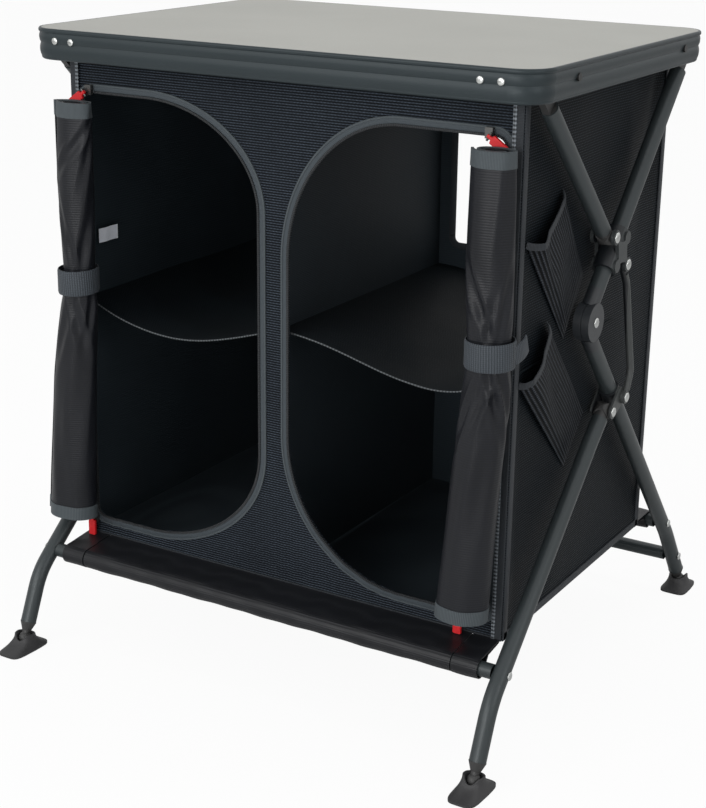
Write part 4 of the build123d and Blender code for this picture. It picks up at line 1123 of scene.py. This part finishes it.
# A head is its node, its pivot, how far from the middle its foot lies, and its radius.
for sx in (-1, 1):
    heads = [("clamp_rivets", clamp_pivots[0], 0.3378, 0.0066),
             ("clamp_rivets", clamp_pivots[1], 0.3378, 0.0066),
             ("knuckle_rivets", knuckle, 0.3325, 0.0062), ("cross_rivets", crossing, 0.3359, 0.0062),
             ("link_rivets", link_foot, 0.3413, 0.0062), ("front_rail_rivets", front_rail, 0.3391, 0.0052),
             ("rear_rail_rivets", rear_rail, 0.3323, 0.0052),
             ("rear_rail_rivets", low_rear_rail, 0.3363, 0.0052)]
    for node, (y, z), face, radius in heads:
        rivets[node][1].append(spun(dome(radius, 0.4 * radius), (sx * face, y, z), (sx, 0, 0)))
for node, (body, parts) in rivets.items():
    points, faces = gather(parts)[:2]
    made = piece(f"{node}_domes", points, faces, body, silver)
    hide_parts(node)
print("rivet heads:", sum(len(parts) for body, parts in rivets.values()))

# %% [markdown]
# The zip pulls are flat red tabs on short necks that hang on their sliders. A spun profile is pressed
# flat from front to back, which leaves a tab with nearly square corners. The top pulls hang askew.

# %% Zip pulls
grip = [(0.0012, -0.0025), (0.0021, -0.0023), (0.0024, -0.0005), (0.0021, 0.0022), (0.0022, 0.0034),
        (0.0042, 0.0040), (0.0052, 0.0047), (0.0054, 0.0060), (0.0054, 0.0228), (0.0050, 0.0236),
        (0.0040, 0.0240), (0.001, 0.0241)]
pull_y, half_thick = -0.2183, 0.0019
top_z, low_z, askew = 0.7165, 0.1585, 35
for node, x, z, sign, slope in (
        ("left_top_pull", -0.278, top_z, -1, askew), ("right_top_pull", 0.270, top_z, 1, askew),
        ("left_low_pull", -0.291, low_z, -1, 90), ("right_low_pull", 0.253, low_z, 1, 90)):
    way = np.array([sign * math.cos(math.radians(slope)), 0, -math.sin(math.radians(slope))])
    hinge = np.array([x, pull_y, z])
    points, faces = spun(grip, hinge, way, 32)[:2]
    off = points - hinge
    off[:, 1] = np.sign(off[:, 1]) * np.minimum(np.abs(off[:, 1]), half_thick)
    made = piece(f"{node}_grip", hinge + off, faces, node, red_cord)
    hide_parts(node)
print("four zip pulls")

# %% [markdown]
# Each foot is a rubber shoe: a flat oblong sole whose sides sweep up in a hollow curve to a collar
# round the ball of the leg. The collar dips at the toe, where the ball shows, and opens wider at the
# heel, where the leg leans. Rings of points are stacked from the sole up, over the rim of the collar
# and down its inside.

# %% Feet
def shoe(x, y, front, back, toe):
    """A rubber foot round a leg's ball, with its sole from front to back. Toe is +1 or -1 along Y."""
    angles = np.linspace(0, 2 * math.pi, 64, endpoint=False)
    c, s = np.cos(angles), np.sin(angles)
    square = (np.abs(c) ** 5 + np.abs(s) ** 5) ** (-1 / 5)
    half_long = np.where(s < 0, front, back)
    half_wide, collar_top = 0.0188, 0.0205
    narrow = 1 - 0.08 * np.clip(s * toe, 0, 1)
    sole = np.stack([half_wide * narrow * square * c, half_long * square * s], -1)
    dip = np.clip((s * toe - 0.55) / 0.45, 0, 1) ** 1.5
    lean = np.clip(-s * toe, 0, 1) ** 1.5
    top = collar_top - 0.0075 * dip - 0.0036 * lean
    sole_thick, socket = 0.0028, 0.0086
    rows = []
    for t in (0.0, 0.0, 0.03, 0.1, 0.2, 0.32, 0.45, 0.6, 0.75, 0.9, 1.0):
        z = sole_thick + (top - sole_thick) * t if rows else np.zeros_like(top)
        share = (1 - t) ** 2.1
        collar = 0.0128 + 0.0016 * lean
        around = np.stack([collar * c, collar * s], -1)
        rows.append(np.column_stack([sole * share + around * (1 - share), z * np.ones_like(top)]))
    for radius, drop in ((0.0122, -0.0006), (0.0108, -0.0004), (0.0098, 0.0012), (0.0093, 0.004)):
        wider = radius + 0.0021 * lean
        rows.append(np.column_stack([wider * c, wider * s, top - drop]))
    for t in (0.35, 0.75, 1.15):
        rows.append(np.column_stack([socket * math.cos(t) * c, socket * math.cos(t) * s,
                                     np.full_like(c, ball_z - socket * math.sin(t))]))
    points = np.concatenate(rows) + [x, y, 0]
    n = len(angles)
    faces = [tuple(int(i) for i in f) for f in cells(len(rows), n, ring=True)]
    faces += [tuple(range(n))[::-1], tuple(range(len(points) - n, len(points)))]
    return points, faces


for node, x, y, front, back, toe in (("front_left_foot", -foot_x, front_foot_y, 0.037, 0.028, -1),
                                     ("front_right_foot", foot_x, front_foot_y, 0.037, 0.028, -1),
                                     ("rear_left_foot", -foot_x, rear_foot_y, 0.028, 0.028, 1),
                                     ("rear_right_foot", foot_x, rear_foot_y, 0.028, 0.028, 1)):
    points, faces = shoe(x, y, front, back, toe)
    made = piece(f"{node}_rubber", points, faces, node, rubber)
    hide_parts(node)
print("four rubber feet")
